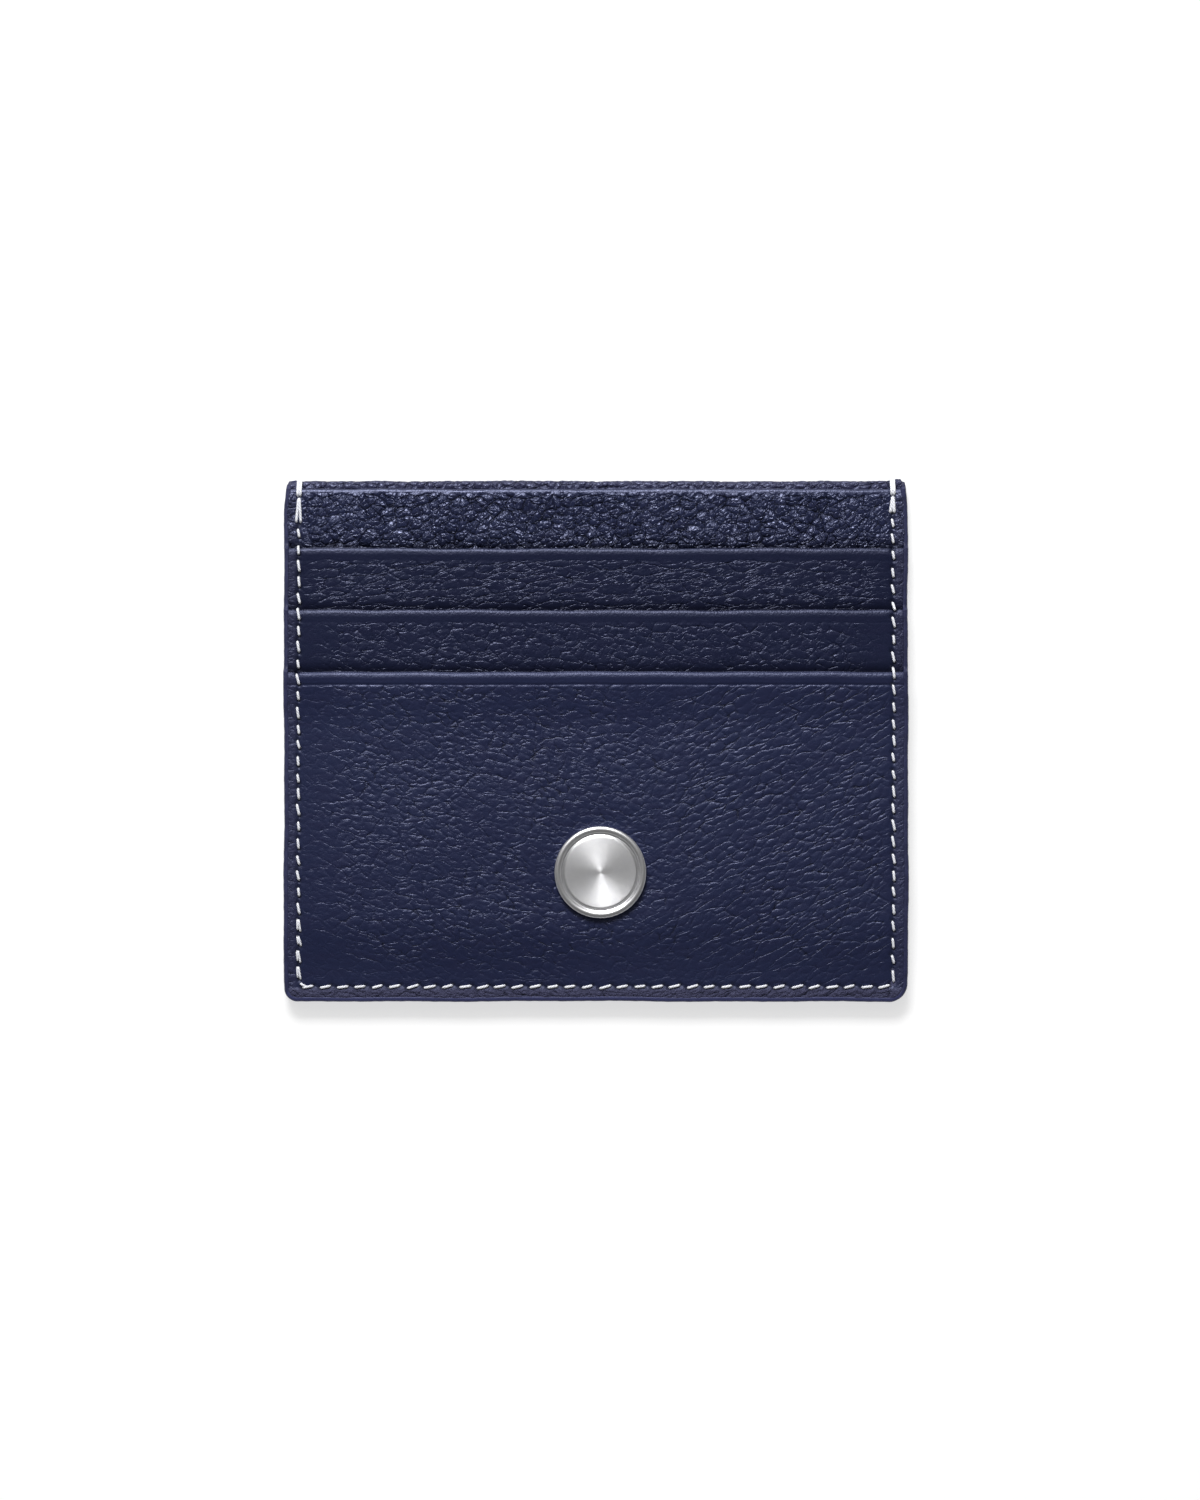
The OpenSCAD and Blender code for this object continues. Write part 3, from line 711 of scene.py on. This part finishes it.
def panelSwell(x, y):
    apart = np.hypot(x - badgeX, y - badgeY)
    inside = smooth(seamX - np.abs(x), 0, 9) * smooth(y - footY, 0, 9)
    near = smooth(apart, badgeR - 0.4, badgeR + 5)
    wave = 0.5 + 0.35 * panelSwellX(x + 0.4 * y) + 0.35 * panelSwellY(y - 0.3 * x)
    mouthFade = smooth(topY - y, mouth["lower"], mouth["lower"] + 3)
    return 0.2 * wave * inside * near * mouthFade


def panelQuiet(x, y):
    # softer grain towards the foot and both sides, full grain on the bottom margin
    foot = smooth(y - footY + 1.2 * edgeQuiet(x), 0.8, 9)
    aboveSeam = smooth(y - footY, -0.9, -0.3)
    left = smooth(x + seamX + 1.4 * edgeQuiet(y * 0.8), 0.8, 11)
    right = smooth(seamX - x, 0.3, 2.2)
    outer = smooth(np.abs(x), seamX + 0.3, seamX + 0.9)
    inner = (0.45 + 0.55 * foot) * (0.35 + 0.65 * left) * (0.3 + 0.7 * right)
    return np.maximum(inner, np.maximum(outer * 0.8, (1 - aboveSeam) * 1.7))


panelLeather = {
    "bump": 0.12, "depth": 0.08, "mean": 0.76, "tone": 1.14, "gloss": 0.0, "shine": 0.52,
    "grain": {"cell": (1.85, 1.05), "turn": -14, "shift": 20.9, "creaseW": 0.17, "dome": 0.22, "facet": 0.45,
              "fineScale": 2.2, "fine": 0.16, "faint": 0.05, "breaks": 0.8, "deep": 0.5,
              "long": (6.2, 2.5), "longTurn": -17, "longW": 0.05, "wander": 1.5, "wanderScale": 0.5},
    "flow": {"cell": (2.3, 1.1), "turn": 30, "shift": 33.2, "creaseW": 0.16, "dome": 0.26, "facet": 0.5,
             "fineScale": 2.1, "fine": 0.09, "faint": 0.08, "breaks": 0.4, "deep": 0.6,
             "long": (8.0, 1.9), "longTurn": 27, "longW": 0.06, "wander": 1.2, "wanderScale": 0.5},
    "flowFrom": (-2.0, 26.0), "wrinkle": {"x": -7.6, "y": -2.0, "width": 4.2, "length": 13.0, "depth": 0.3}}
panelLayer = {**bodyLayer, "start": mouth["lower"], "shown": leatherEnd, "thickness": thick["panel"],
              "roll": 0.11, "band": 1.75, "crease": 0.1, "step": (0.26, 3.0), "swell": panelSwell,
              "quiet": panelQuiet, "mouthWave": waves(44, (92, 35, 13), 0.12), "top": panelTop,
              "under": lambda t: panelTop(t) - thick["panel"]}
finishLeather(leatherPiece("lowerSlotPanel", panelLayer, leatherMaterial("panelLeather", panelLeather)),
              panelLeather, "front_leather", "lower_slot_panel")


# The back: its outer face below, and the turned hem that shows above the body
backLeather = {
    "bump": 0.16, "depth": 0.11, "mean": 0.7, "tone": 1.0, "gloss": 0.03, "shine": 0.56,
    "grain": {"cell": (1.3, 1.0), "turn": 12, "shift": 41.5, "creaseW": 0.17, "dome": 0.22, "facet": 0.7,
              "fineScale": 2.1, "fine": 0.18, "faint": 0.3, "breaks": 0.9, "deep": 0.3,
              "long": (4.8, 2.2), "longTurn": 20, "longW": 0.05, "wander": 0.9, "wanderScale": 0.65}}
back = {"leatherT": 0.8, "hemEnd": 8.0, "fold": 0.85, "bends": 11, "step": 0.36, "fineStep": 0.14,
        "footRows": 3.8, "flareX": halfW - 4.0, "flare": 0.45, "flareOver": 1.6,
        "mouthWave": waves(61, (77, 25, 10), 0.1), "grain": 0.85, "hemGrain": 1.7, "hemMargin": 1.9,
        "trough": 0.3, "pit": 0.2, "hemPit": 0.25}


def hemShift(x, t):
    # the turned hem isn't dead straight and stands out a little at the right
    flare = back["flare"] * smooth(x, back["flareX"], skinW)
    return (back["mouthWave"](x) + flare) * np.exp(-t / back["flareOver"])


def backPiece():
    r, bends, fold, fine = level["hem"] / 2, back["bends"], back["fold"], back["fineStep"]
    hemSeen, footStart = mouth["body"] + 1.2, leatherEnd - back["footRows"]
    angle = np.linspace(0, np.pi, bends)
    hemT = np.concatenate([fold * (1 - np.sin(angle)), spaced(fold, hemSeen, fine)[1:],
                           spaced(hemSeen, back["hemEnd"], 2.2)[1:]])
    hemZ = np.concatenate([r - r * np.cos(angle), np.full(len(hemT) - bends, level["hem"])])
    innerT = spaced(back["hemEnd"] + 0.1, leatherEnd, 6.0)
    outerT = np.concatenate([bottomRim()[::-1], spaced(footStart, leatherEnd - skin["rim"], fine)[:-1][::-1],
                             spaced(fold, footStart, back["step"])[:-1][::-1][:-1]])
    rowT = np.concatenate([hemT, innerT, outerT])
    z = np.concatenate([hemZ, np.full(len(innerT), back["leatherT"]), np.zeros(len(outerT))])
    inside = np.zeros(len(hemT) - bends + len(innerT), bool)
    outer = np.concatenate([angle < np.pi / 2 - 0.1, inside, np.ones(len(outerT), bool)])
    gridU, gridT = np.meshgrid(columns(back["step"]), rowT, indexing="ij")
    x, y = place(gridU, gridT)
    y = y + hemShift(x, gridT)
    outerGrid = np.broadcast_to(outer, x.shape)
    edge = np.minimum(np.minimum(sideX(1, gridT) - x, x - sideX(-1, gridT)), leatherEnd - gridT)
    pit = pits(x, y, backStitches) * outerGrid
    rim = skin["edgeDrop"] * (1 - smooth(edge, 0, skin["edgeWidth"])) ** 2
    seen = rowT < mouth["body"] + 1
    hem = np.broadcast_to(~outer & seen, x.shape)
    hemPit = pits(x, y, []) * hem
    dent = back["trough"] * trough(x, y) + back["pit"] * pit + rim
    gridZ = np.broadcast_to(z, x.shape) + dent * outerGrid - back["hemPit"] * hemPit
    amount = np.where(hem, back["hemGrain"], back["grain"] * outerGrid)
    amount = amount * (1 - skin["troughGrain"] * trough(x, y) * outerGrid)
    margin = marginMask(x, y)
    attributes = {"grainAmount": amount, "pit": np.maximum(pit, hemPit), "edge": margin * 0.8,
                  "margin": np.maximum(margin * 0.6, hem * back["hemMargin"])}
    return sweptPiece("backPanel", x, y, gridZ, attributes, outer | seen,
                      leatherMaterial("backLeather", backLeather), rowT, bends // 2)


finishLeather(backPiece(), backLeather, "back_leather", "back_panel")


# The painted edge: a rounded bead that follows the leather down, along and up again
paint = {"overlap": 0.2, "proud": 0.05, "inset": 0.12, "low": 0.08, "rings": 16, "step": 0.45, "round": 0.4,
         "endOver": 0.9, "thinEnd": 0.25, "stepOver": 0.35, "stepRows": (-0.03, 0.03, 0.25),
         "ripple": waves(71, (5.3, 2.9, 1.7), 0.035),
         "tone": {"dark": 0.52, "pale": 0.74, "foot": 1.4, "streak": 0.36}}


def paintPath():
    sides = {}
    for side in (-1, 1):
        r = outline["corner"][side] - paintW
        straight = np.concatenate([spaced(0.0, leatherEnd - r, paint["step"])]
                                  + [[at + row for row in paint["stepRows"]] for at in mouth.values()])
        bend = leatherEnd - r + r * np.sin(np.linspace(0, np.pi / 2, 12))[1:]
        t = np.concatenate([np.sort(straight), bend])
        sides[side] = np.stack([*place(np.full_like(t, side), t), t], -1)
    u = np.linspace(-1, 1, int(2 * halfW / paint["step"]))[1:-1]
    t = np.full_like(u, leatherEnd)
    return np.vstack([sides[-1], np.stack([*place(u, t), t], -1), sides[1][::-1]])


def paintHeight(t):
    # the paint climbs a soft step at each mouth
    names = ("hem", "body", "upper", "middle", "lower")
    z = np.full_like(t, level["hem"])
    for low, high in zip(names, names[1:]):
        first = mouth[high] - paint["stepOver"]
        climb = level[low] + (level[high] - level[low]) * smooth(t, first, mouth[high])
        z = np.where(t >= first, climb, z)
    return np.where(t > mouth["lower"], panelTop(t), z)


def paintMaterial():
    made, g = newMaterial("edgePaint")
    point, tone = millimetres(g), paint["tone"]
    blue = {key: shaded(colourOf("edge_paint"), share) for key, share in tone.items()}
    cloud = g.noise(point, 0.5, 3.0)
    streak = g.noise(g.vector("MULTIPLY", point, (1.0, 1.0, 4.0)), 1.6, 3.0, 0.6)
    # painted light: the paint is made lighter along the foot, whose side faces away from the key lamp
    foot = g.ease(g.split(point)[1], paintLow[1] + 0.7, paintLow[1] + 2.2, 0.62, 0.0)
    colour = g.mixColour(g.ease(cloud, 0.3, 0.7), blue["dark"], blue["pale"])
    colour = g.mixColour(foot, colour, blue["foot"])
    colour = g.mixColour(g.ease(streak, 0.55, 0.8) * 0.5, colour, blue["streak"])
    relief = streak * 0.05 + cloud * 0.08
    return finishMaterial(made, g, colour, 0.42 + cloud * 0.18, relief, {"Specular IOR Level": 0.26})


def paintPiece():
    path = paintPath()
    path = path[np.concatenate([[True], np.hypot(*np.diff(path[:, :2], axis=0).T) > 0.01])]
    plan, t = path[:, :2], path[:, 2]
    ahead = unit(np.gradient(plan, axis=0))
    outward = np.stack([-ahead[:, 1], ahead[:, 0]], -1)
    outward = np.where(((outward * plan).sum(1) > 0)[:, None], outward, -outward)
    ends = np.sqrt(1 - (1 - np.clip((t + 0.02) / paint["endOver"], 0, 1)) ** 2)
    bulge = (paintW + paint["ripple"](lengthsAlong(plan))) * ends
    middle, full = (level["hem"] + paint["low"]) / 2, np.maximum(ends, paint["thinEnd"])
    high = middle + (paintHeight(t) + paint["proud"] - paint["inset"] - middle) * full
    low = middle + (paint["low"] - middle) * full
    rings = []
    for angle in np.linspace(0, math.pi, paint["rings"] + 1):  # from the under side out and over to the top
        reach = bulge * math.sin(angle) ** paint["round"]
        z = low + (high - low) * (1 - math.cos(angle)) / 2
        rings.append(np.column_stack([plan + outward * reach[:, None], z]))
    inner = plan - outward * paint["overlap"]
    rings += [np.column_stack([inner, high + 0.02]), np.column_stack([inner, low])]
    grid = np.stack(rings, 1)
    index = np.arange(grid.shape[0] * grid.shape[1]).reshape(grid.shape[:2])
    caps = [index[0][::-1].tolist(), index[-1].tolist()]
    return newPiece("paintedEdge", grid.reshape(-1, 3), ringFaces(index) + caps, paintMaterial())


fit(paintPiece(), "edge_paint", "edge_paint")
print("painted edge made")


# Thread: three plies twisted together, swept along each stitch
thread = {"sides": 12, "plies": 3, "twist": 1.5, "spacing": 0.13, "nextTurn": 1.7, "core": 0.82, "ply": 0.22,
          "thinEnd": 0.45, "thinOver": 0.62, "flat": 0.86, "rise": 0.62, "crown": 0.45, "points": 15,
          "sinkOver": 0.16, "sink": 0.42, "behind": 0.26, "behindSink": 0.3}


def threadMesh(name, runs, material, radii):
    points, faces, shade = [], [], []
    sides = thread["sides"]
    angle = np.linspace(0, 2 * np.pi, sides, endpoint=False)
    for number, run in enumerate(runs):
        length = lengthsAlong(run)
        at = spaced(0, length[-1], thread["spacing"])
        line = np.stack([np.interp(at, length, run[:, k]) for k in range(3)], -1)
        ahead = unit(np.gradient(line, axis=0))
        aside = np.cross(run[-1] - run[0], (0, 0, 1.0))
        if np.linalg.norm(aside[:2]) < 1e-6:
            aside = np.array([1.0, 0, 0])
        aside = np.broadcast_to(aside / np.linalg.norm(aside), line.shape)
        up = np.cross(aside, ahead)
        turn = 2 * np.pi * at / thread["twist"] + number * thread["nextTurn"]
        ply = np.abs(np.cos(thread["plies"] / 2 * (angle[None, :] - turn[:, None])))
        ends = smooth(np.minimum(at, at[-1] - at), 0, thread["thinOver"])
        r = radii[number] * (thread["core"] + thread["ply"] * ply)
        r = r * (thread["thinEnd"] + (1 - thread["thinEnd"]) * ends)[:, None]
        ring = (line[:, None, :] + aside[:, None, :] * (np.cos(angle) * r)[..., None]
                + up[:, None, :] * (np.sin(angle) * r * thread["flat"])[..., None])
        first = sum(len(p) for p in points)
        points.append(ring.reshape(-1, 3))
        shade.append(ply.ravel())
        index = first + np.arange(len(ring) * sides).reshape(-1, sides)
        faces += ringFaces(index) + [index[0][::-1].tolist(), index[-1].tolist()]
    return newPiece(name, np.vstack(points), faces, material, {"ply": np.concatenate(shade)})


def threadMaterial(name, colour, dark):
    made, g = newMaterial(name)
    ply = g.attribute("ply")
    fibre = g.noise(millimetres(g), 9.0, 3.0, 0.7)
    # painted shade: the thread is darker in the grooves between its plies; the fibre noise after it is its
    # own tone
    tone = g.mixColour(g.ease(ply, 0.1, 0.75), dark, colour)
    tone = g.mixColour(g.ease(fibre, 0.35, 0.7) * 0.18, tone, dark)
    return finishMaterial(made, g, tone, 0.5 + fibre * 0.2, fibre * 0.03 + ply * 0.03, {
        "Specular IOR Level": 0.4, "Sheen Weight": 0.25, "Sheen Roughness": 0.4})


seamThread = threadMaterial("seamThread", shaded(colourOf("seam_thread"), 1.1), (0.46, 0.48, 0.56))


def tautOver(s, heights):
    # the lowest line from hole to hole that stays above the leather
    best = heights.copy()
    for i in range(len(s)):
        for j in range(i + 2, len(s)):
            line = heights[i] + (heights[j] - heights[i]) * (s[i + 1:j] - s[i]) / (s[j] - s[i])
            best[i + 1:j] = np.maximum(best[i + 1:j], line)
    return best


# A stitch seen from above, and how far each point is from its two holes, 0 in a hole and 1 between them
def plan(stitch):
    s = np.linspace(0, 1, thread["points"])
    start, end = np.array(stitch[0]), np.array(stitch[1])
    return s, start + (end - start) * s[:, None], smooth(np.minimum(s, 1 - s), 0, thread["sinkOver"])


def frontRun(stitch):
    s, line, free = plan(stitch)
    leatherZ = frontZ(line[:, 1]) - seam["trough"]
    lift = tautOver(s, leatherZ) + seam["threadR"] * thread["rise"] * np.sin(np.pi * s) ** thread["crown"]
    return np.column_stack([line[:, 0], topY - line[:, 1], lift - thread["sink"] * (1 - free)])


def backRun(stitch):
    s, line, free = plan(stitch)
    z = thread["behind"] + thread["behindSink"] * (1 - free)
    return np.column_stack([line[:, 0], topY - line[:, 1], z])


# The last stitches on the left were sewn over twice, and one short stitch turns the corner
over = {"count": 4, "spread": 0.17, "lean": 0.06, "radius": 0.165, "before": 0.1, "after": 0.15,
        "corner": ((0.2, -0.55), (1.35, 0.12))}
leftCount = len(sideStitches(-1, np.random.default_rng(0)))
doubled = frontStitches[leftCount - over["count"]:leftCount]
runs = [frontRun(stitch) for stitch in frontStitches if stitch not in doubled]
for (x0, t0), (x1, t1) in doubled:
    for side in (-1, 1):
        shift, cross = side * over["spread"], side * over["lean"]
        runs.append(frontRun(((x0 + shift - cross, t0 - over["before"]),
                              (x1 + shift + cross, t1 + side * over["after"]))))
runs.append(frontRun([(dx - seamX, seamT + dt) for dx, dt in over["corner"]]))
radii = np.full(len(runs), seam["threadR"])
radii[-2 * over["count"] - 1:-1] = over["radius"]
fit(threadMesh("seamStitchesFront", runs, seamThread, radii), "seam_thread", "seam_stitches_front")
backRadii = np.full(len(backStitches), seam["threadR"] * 0.9)
fit(threadMesh("seamStitchesBack", [backRun(stitch) for stitch in backStitches], seamThread, backRadii),
    "seam_thread", "seam_stitches_back")


def turns(a, b, c):
    return (b[0] - a[0]) * (c[1] - b[1]) - (b[1] - a[1]) * (c[0] - b[0])


# The taut line from the front hole over the lip and round the fold to the back hole
loop = {"behind": 0.28, "spacing": 0.16, "endOver": 0.35, "clear": 0.95, "sinkT": 0.12, "sinkFront": 0.4,
        "sinkBehind": 0.65}


def foldLine(x, hole, r):
    top = level["body"] - seam["trough"] * 0.5
    half = thick["body"] / 2
    bend, fold = np.linspace(np.pi, np.pi / 2, 6), np.linspace(np.pi, 0, 19)
    t = np.concatenate([[hole], mouth["body"] + bodyLayer["nose"] * (1 - np.sin(bend)),
                        back["fold"] * (1 - np.sin(fold)), [hole]])
    z = np.concatenate([[top], top - half - half * np.cos(bend), level["hem"] / 2 * (1 - np.cos(fold)), [0]])
    taut = []
    for point in zip(t - hemShift(x, t), np.maximum(z, loop["behind"])):
        while len(taut) > 1 and turns(taut[-2], taut[-1], point) <= 0:
            taut.pop()
        taut.append(point)
    taut = np.array(taut)
    length = lengthsAlong(taut)
    at = spaced(0, length[-1], loop["spacing"])
    line = np.stack([np.interp(at, length, taut[:, k]) for k in (0, 1)], -1)
    ahead = unit(np.gradient(line, axis=0))
    lift = r * thread["rise"] * np.minimum(1, np.minimum(at, at[-1] - at) / loop["endOver"])
    line += np.stack([ahead[:, 1], -ahead[:, 0]], -1) * lift[:, None]
    line[:, 1] = np.maximum(line[:, 1], loop["clear"] * r)  # clear of the table
    sunk = hole + loop["sinkT"]
    line = np.vstack([[(sunk, top - loop["sinkFront"])], line, [(sunk, loop["sinkBehind"])]])
    return np.column_stack([np.full(len(line), x), topY - line[:, 0], line[:, 1]])


def rounded(run):
    # the corners are cut once, so that the run bends softly
    cut = np.empty((2 * len(run) - 2, 3))
    cut[0::2] = run[:-1] * 0.75 + run[1:] * 0.25
    cut[1::2] = run[:-1] * 0.25 + run[1:] * 0.75
    return np.vstack([run[:1], cut, run[-1:]])


def tackRuns(side):
    found = []
    first, second = tack["reach"][side]
    for strand in (-0.5, 0.5):
        x, lean = side * tack["x"] + strand * tack["spread"][side], strand * tack["lean"]
        below = ((x - lean, first + 0.15), (x + lean - 0.1, second))
        found += [rounded(foldLine(x, first, tack["strand"][side])), frontRun(below), backRun(below)]
    return found


for side, word in ((-1, "left"), (1, "right")):
    tacks = tackRuns(side)
    tackRadii = np.full(len(tacks), tack["strand"][side])
    fit(threadMesh("mouthTack" + word.capitalize(), tacks, seamThread, tackRadii),
        "seam_thread", "mouth_tack_" + word)
print("stitches:", len(runs), "in front,", len(backStitches), "behind")


# The badge: a turned disc with a rolled rim, a bright groove and a finely turned dish
# The profile gives how far in from the rim and how far up from the seat each ring stands.
badge = {"turns": 160, "pitch": 0.16, "seat": badgeHigh[2] - 1.1, "middle": 0.675,
         "profile": [(0.25, 0), (0.06, 0.06), (0, 0.2), (0, 0.72), (0.05, 0.88), (0.17, 1.0), (0.34, 1.07),
                     (0.55, 1.1), (0.76, 1.07), (0.93, 1.0), (1.03, 0.88), (1.08, 0.7), (1.16, 0.62),
                     (1.3, 0.6), (1.44, 0.66), (1.52, 0.74), (1.66, 0.78), (1.9, 0.78), (3.2, 0.735),
                     (4.6, 0.7), (6.0, 0.682)],
         "prong": {"x": 3.57, "thick": 0.14, "fold": 2.0, "halfWidth": 1, "bend": 0.05, "up": 0.1}}


def badgeMaterial():
    made, g = newMaterial("badgeSilver")
    point = millimetres(g)
    x, y, z = g.split(point)
    away = ((x - badgeX) * (x - badgeX) + (y - badgeY) * (y - badgeY)) ** 0.5
    dish = 1 - g.ease(away, badgeR - 1.75, badgeR - 1.65)
    ripple = (away * (2 * math.pi / badge["pitch"])).through("SINE")
    smear = g.noise(point, 0.6, 4.0, 0.6)
    scratch = g.noise(g.vector("MULTIPLY", point, (1.0, 7.0, 1.0)), 2.4, 4.0, 0.7)
    silver = shaded(colourOf("badge_metal"), 1.06)
    colour = g.mixColour(g.ease(smear, 0.35, 0.7) * 0.5, silver, (0.74, 0.74, 0.77))
    rough = 0.29 + dish * 0.08 + smear * 0.1
    relief = ripple * dish * 0.008 + scratch * 0.003
    return finishMaterial(made, g, colour, rough, relief, {"Metallic": 1.0})


def badgePiece():
    count, seat = badge["turns"], badge["seat"]
    profile = [(0, 0)] + [(badgeR - inset, up) for inset, up in badge["profile"]] + [(0, badge["middle"])]
    rings, points, faces = [], [], []
    for radius, height in profile:
        around = np.linspace(0, 2 * math.pi, count if radius else 1, endpoint=False)
        rings.append(list(range(len(points), len(points) + len(around))))
        points += [(badgeX + radius * math.cos(a), badgeY + radius * math.sin(a), seat + height)
                   for a in around]
    for low, high in zip(rings, rings[1:]):
        for i in range(count):
            j = (i + 1) % count
            if len(low) == 1:
                faces.append((low[0], high[j], high[i]))
            elif len(high) == 1:
                faces.append((low[i], low[j], high[0]))
            else:
                faces.append((low[i], low[j], high[j], high[i]))
    prong, base = badge["prong"], badgeLow[2]
    for side in (-1, 1):  # the prongs that go through the panel and fold over the washer
        outer = badgeX + side * prong["x"]
        inner, tip = outer - side * prong["thick"], outer - side * prong["fold"]
        path = [(outer, seat + prong["up"]), (outer, base + prong["bend"]),
                (outer - side * prong["bend"], base), (tip, base), (tip, base + prong["thick"]),
                (inner, base + prong["thick"]), (inner, seat + prong["up"])]
        first, n = len(points), len(path)
        for y in (badgeY - prong["halfWidth"], badgeY + prong["halfWidth"]):
            points += [(px, y, pz) for px, pz in path]
        faces += [(first + i, first + (i + 1) % n, first + n + (i + 1) % n, first + n + i) for i in range(n)]
        faces += [tuple(range(first + n - 1, first - 1, -1)), tuple(range(first + n, first + 2 * n))]
    return newPiece("roundBadge", points, faces, badgeMaterial())


fit(badgePiece(), "badge_metal", "badge")
print("badge made")


# Finishes for the pieces that stay as the frame has them
def wovenMaterial(name, colour, dark, pitch):
    made, g = newMaterial(name)
    point = millimetres(g)
    x, y, z = g.split(point)
    warp, weft = ((along * (2 * math.pi / pitch)).through("SINE") for along in (x, y))
    cloth = g.ease(warp * weft, -0.8, 0.8)
    slub = g.noise(point, 2.2, 2.0)
    # painted shade: the cloth is darker in the gaps of the weave, with random slubs on top
    tone = g.mixColour(cloth * 0.7 + slub * 0.2, dark, colour)
    return finishMaterial(made, g, tone, 0.75 + slub * 0.15, cloth * 0.03 + slub * 0.02, {
        "Specular IOR Level": 0.3, "Sheen Weight": 0.3})


def fibreMaterial(name, colour, dark, scale, metal=0.0, rough=0.7):
    made, g = newMaterial(name)
    point = millimetres(g)
    coarse = g.noise(point, scale * 0.3, 3.0)
    fine = g.noise(g.vector("MULTIPLY", point, (1.0, 2.2, 1.0)), scale * 1.6, 4.0, 0.65)
    tone = g.mixColour(g.ease(coarse, 0.3, 0.7) * 0.6 + fine * 0.3, dark, colour)
    return finishMaterial(made, g, tone, rough + fine * 0.15, fine * 0.04, {"Metallic": metal})


# How each finish is made, its name, how dark its gaps are (painted shade in the woven ones), then the scale
# and, for metal, two more
finishes = {
    "lining_fabric": (wovenMaterial, "liningCloth", 0.5, 0.35),
    "mouth_tape": (wovenMaterial, "mouthTape", 0.6, 0.3),
    "seam_tape": (wovenMaterial, "seamTape", 0.6, 0.4),
    "seam_filler": (fibreMaterial, "splitLeather", 0.5, 3.0),
    "stiffener_board": (fibreMaterial, "fibreBoard", 0.6, 2.0),
    "washer_metal": (fibreMaterial, "washerBrass", 0.7, 4.0, 1.0, 0.3),
    "base_thread": (fibreMaterial, "baseThread", 0.5, 8.0)}
made = {slot: make(name, colourOf(slot), shaded(colourOf(slot), dark), *more)
        for slot, (make, name, dark, *more) in finishes.items()}
for part in frame["record"]["subparts"]:
    if part["node"] not in replacedNodes:
        kept = bpy.data.objects[part["node"]]
        kept.data.materials.clear()
        kept.data.materials.append(made[part["material_slot"]])
print("finishes set on the kept pieces")


# Floor, light and camera
floorLook = {"half": 3.0, "z": -0.0001, "grey": 0.45, "rough": 0.9, "shine": 0.1, "glow": 0.645}
floorMesh = bpy.data.meshes.new("paleFloor")
corners = [(sx * floorLook["half"], sy * floorLook["half"], floorLook["z"])
           for sx, sy in ((-1, -1), (1, -1), (1, 1), (-1, 1))]
floorMesh.from_pydata(corners, [], [(0, 1, 2, 3)])
floorMaterial, g = newMaterial("paleFloor")
floorMesh.materials.append(finishMaterial(
    floorMaterial, g, (*[floorLook["grey"]] * 3, 1), floorLook["rough"], None,
    {"Specular IOR Level": floorLook["shine"], "Emission Color": (1, 1, 1, 1),
     "Emission Strength": floorLook["glow"]}))
floor = bpy.data.objects.new("paleFloor", floorMesh)
bpy.context.scene.collection.objects.link(floor)

studio = {"key": {"at": (-0.1, 0.5, 0.48), "size": (0.3, 0.2), "power": 5.0},
          "toward": (-0.12, 0.7, 0.7), "glow": 1.7, "glowEdge": (0.84, 0.97),
          "zenith": 0.12, "horizon": 0.8, "horizonLow": 0.02, "horizonTop": 0.3}


def areaLight(name, light):
    lamp = bpy.data.lights.new(name, "AREA")
    lamp.shape = "RECTANGLE"
    lamp.size, lamp.size_y = light["size"]
    lamp.energy = light["power"]
    holder = bpy.data.objects.new(name, lamp)
    holder.location = light["at"]
    toward = -holder.location.normalized()
    holder.rotation_euler = toward.to_track_quat("-Z", "Y").to_euler()
    bpy.context.scene.collection.objects.link(holder)


areaLight("keyLight", studio["key"])
world = bpy.data.worlds.new("studioWorld")
world.use_nodes = True
bpy.context.scene.world = world
g = Graph(world.node_tree)
direction = g.add("ShaderNodeTexCoord", out=0)
height = g.split(direction)[2]
toKey = g.add("ShaderNodeVectorMath", {"operation": "DOT_PRODUCT"},
              {0: direction, 1: studio["toward"]}, out=1)
band = g.ease(height, studio["horizonLow"], studio["horizonTop"], studio["horizon"], 0.0)
glow = g.ease(toKey, *studio["glowEdge"]) * studio["glow"] + band + studio["zenith"]
g.add("ShaderNodeOutputWorld", None,
      {"Surface": g.add("ShaderNodeBackground", None, {"Color": (1, 1, 1, 1), "Strength": glow})})

camera = {"lens": 100.0, "sensor": 36.0, "tall": 240.0, "x": 0.64, "y": -1.44, "aim": 3.0, "clip": (0.01, 20)}
eye = bpy.data.cameras.new("camera")
eye.lens, eye.sensor_width = camera["lens"], camera["sensor"]
eye.clip_start, eye.clip_end = camera["clip"]
eyeObject = bpy.data.objects.new("camera", eye)
distance = camera["tall"] * camera["lens"] / camera["sensor"]
eyeObject.location = (camera["x"] * mm, camera["y"] * mm, (camera["aim"] + distance) * mm)
bpy.context.scene.collection.objects.link(eyeObject)
bpy.context.scene.camera = eyeObject
bpy.context.scene.view_settings.view_transform = "Standard"

print("ready")
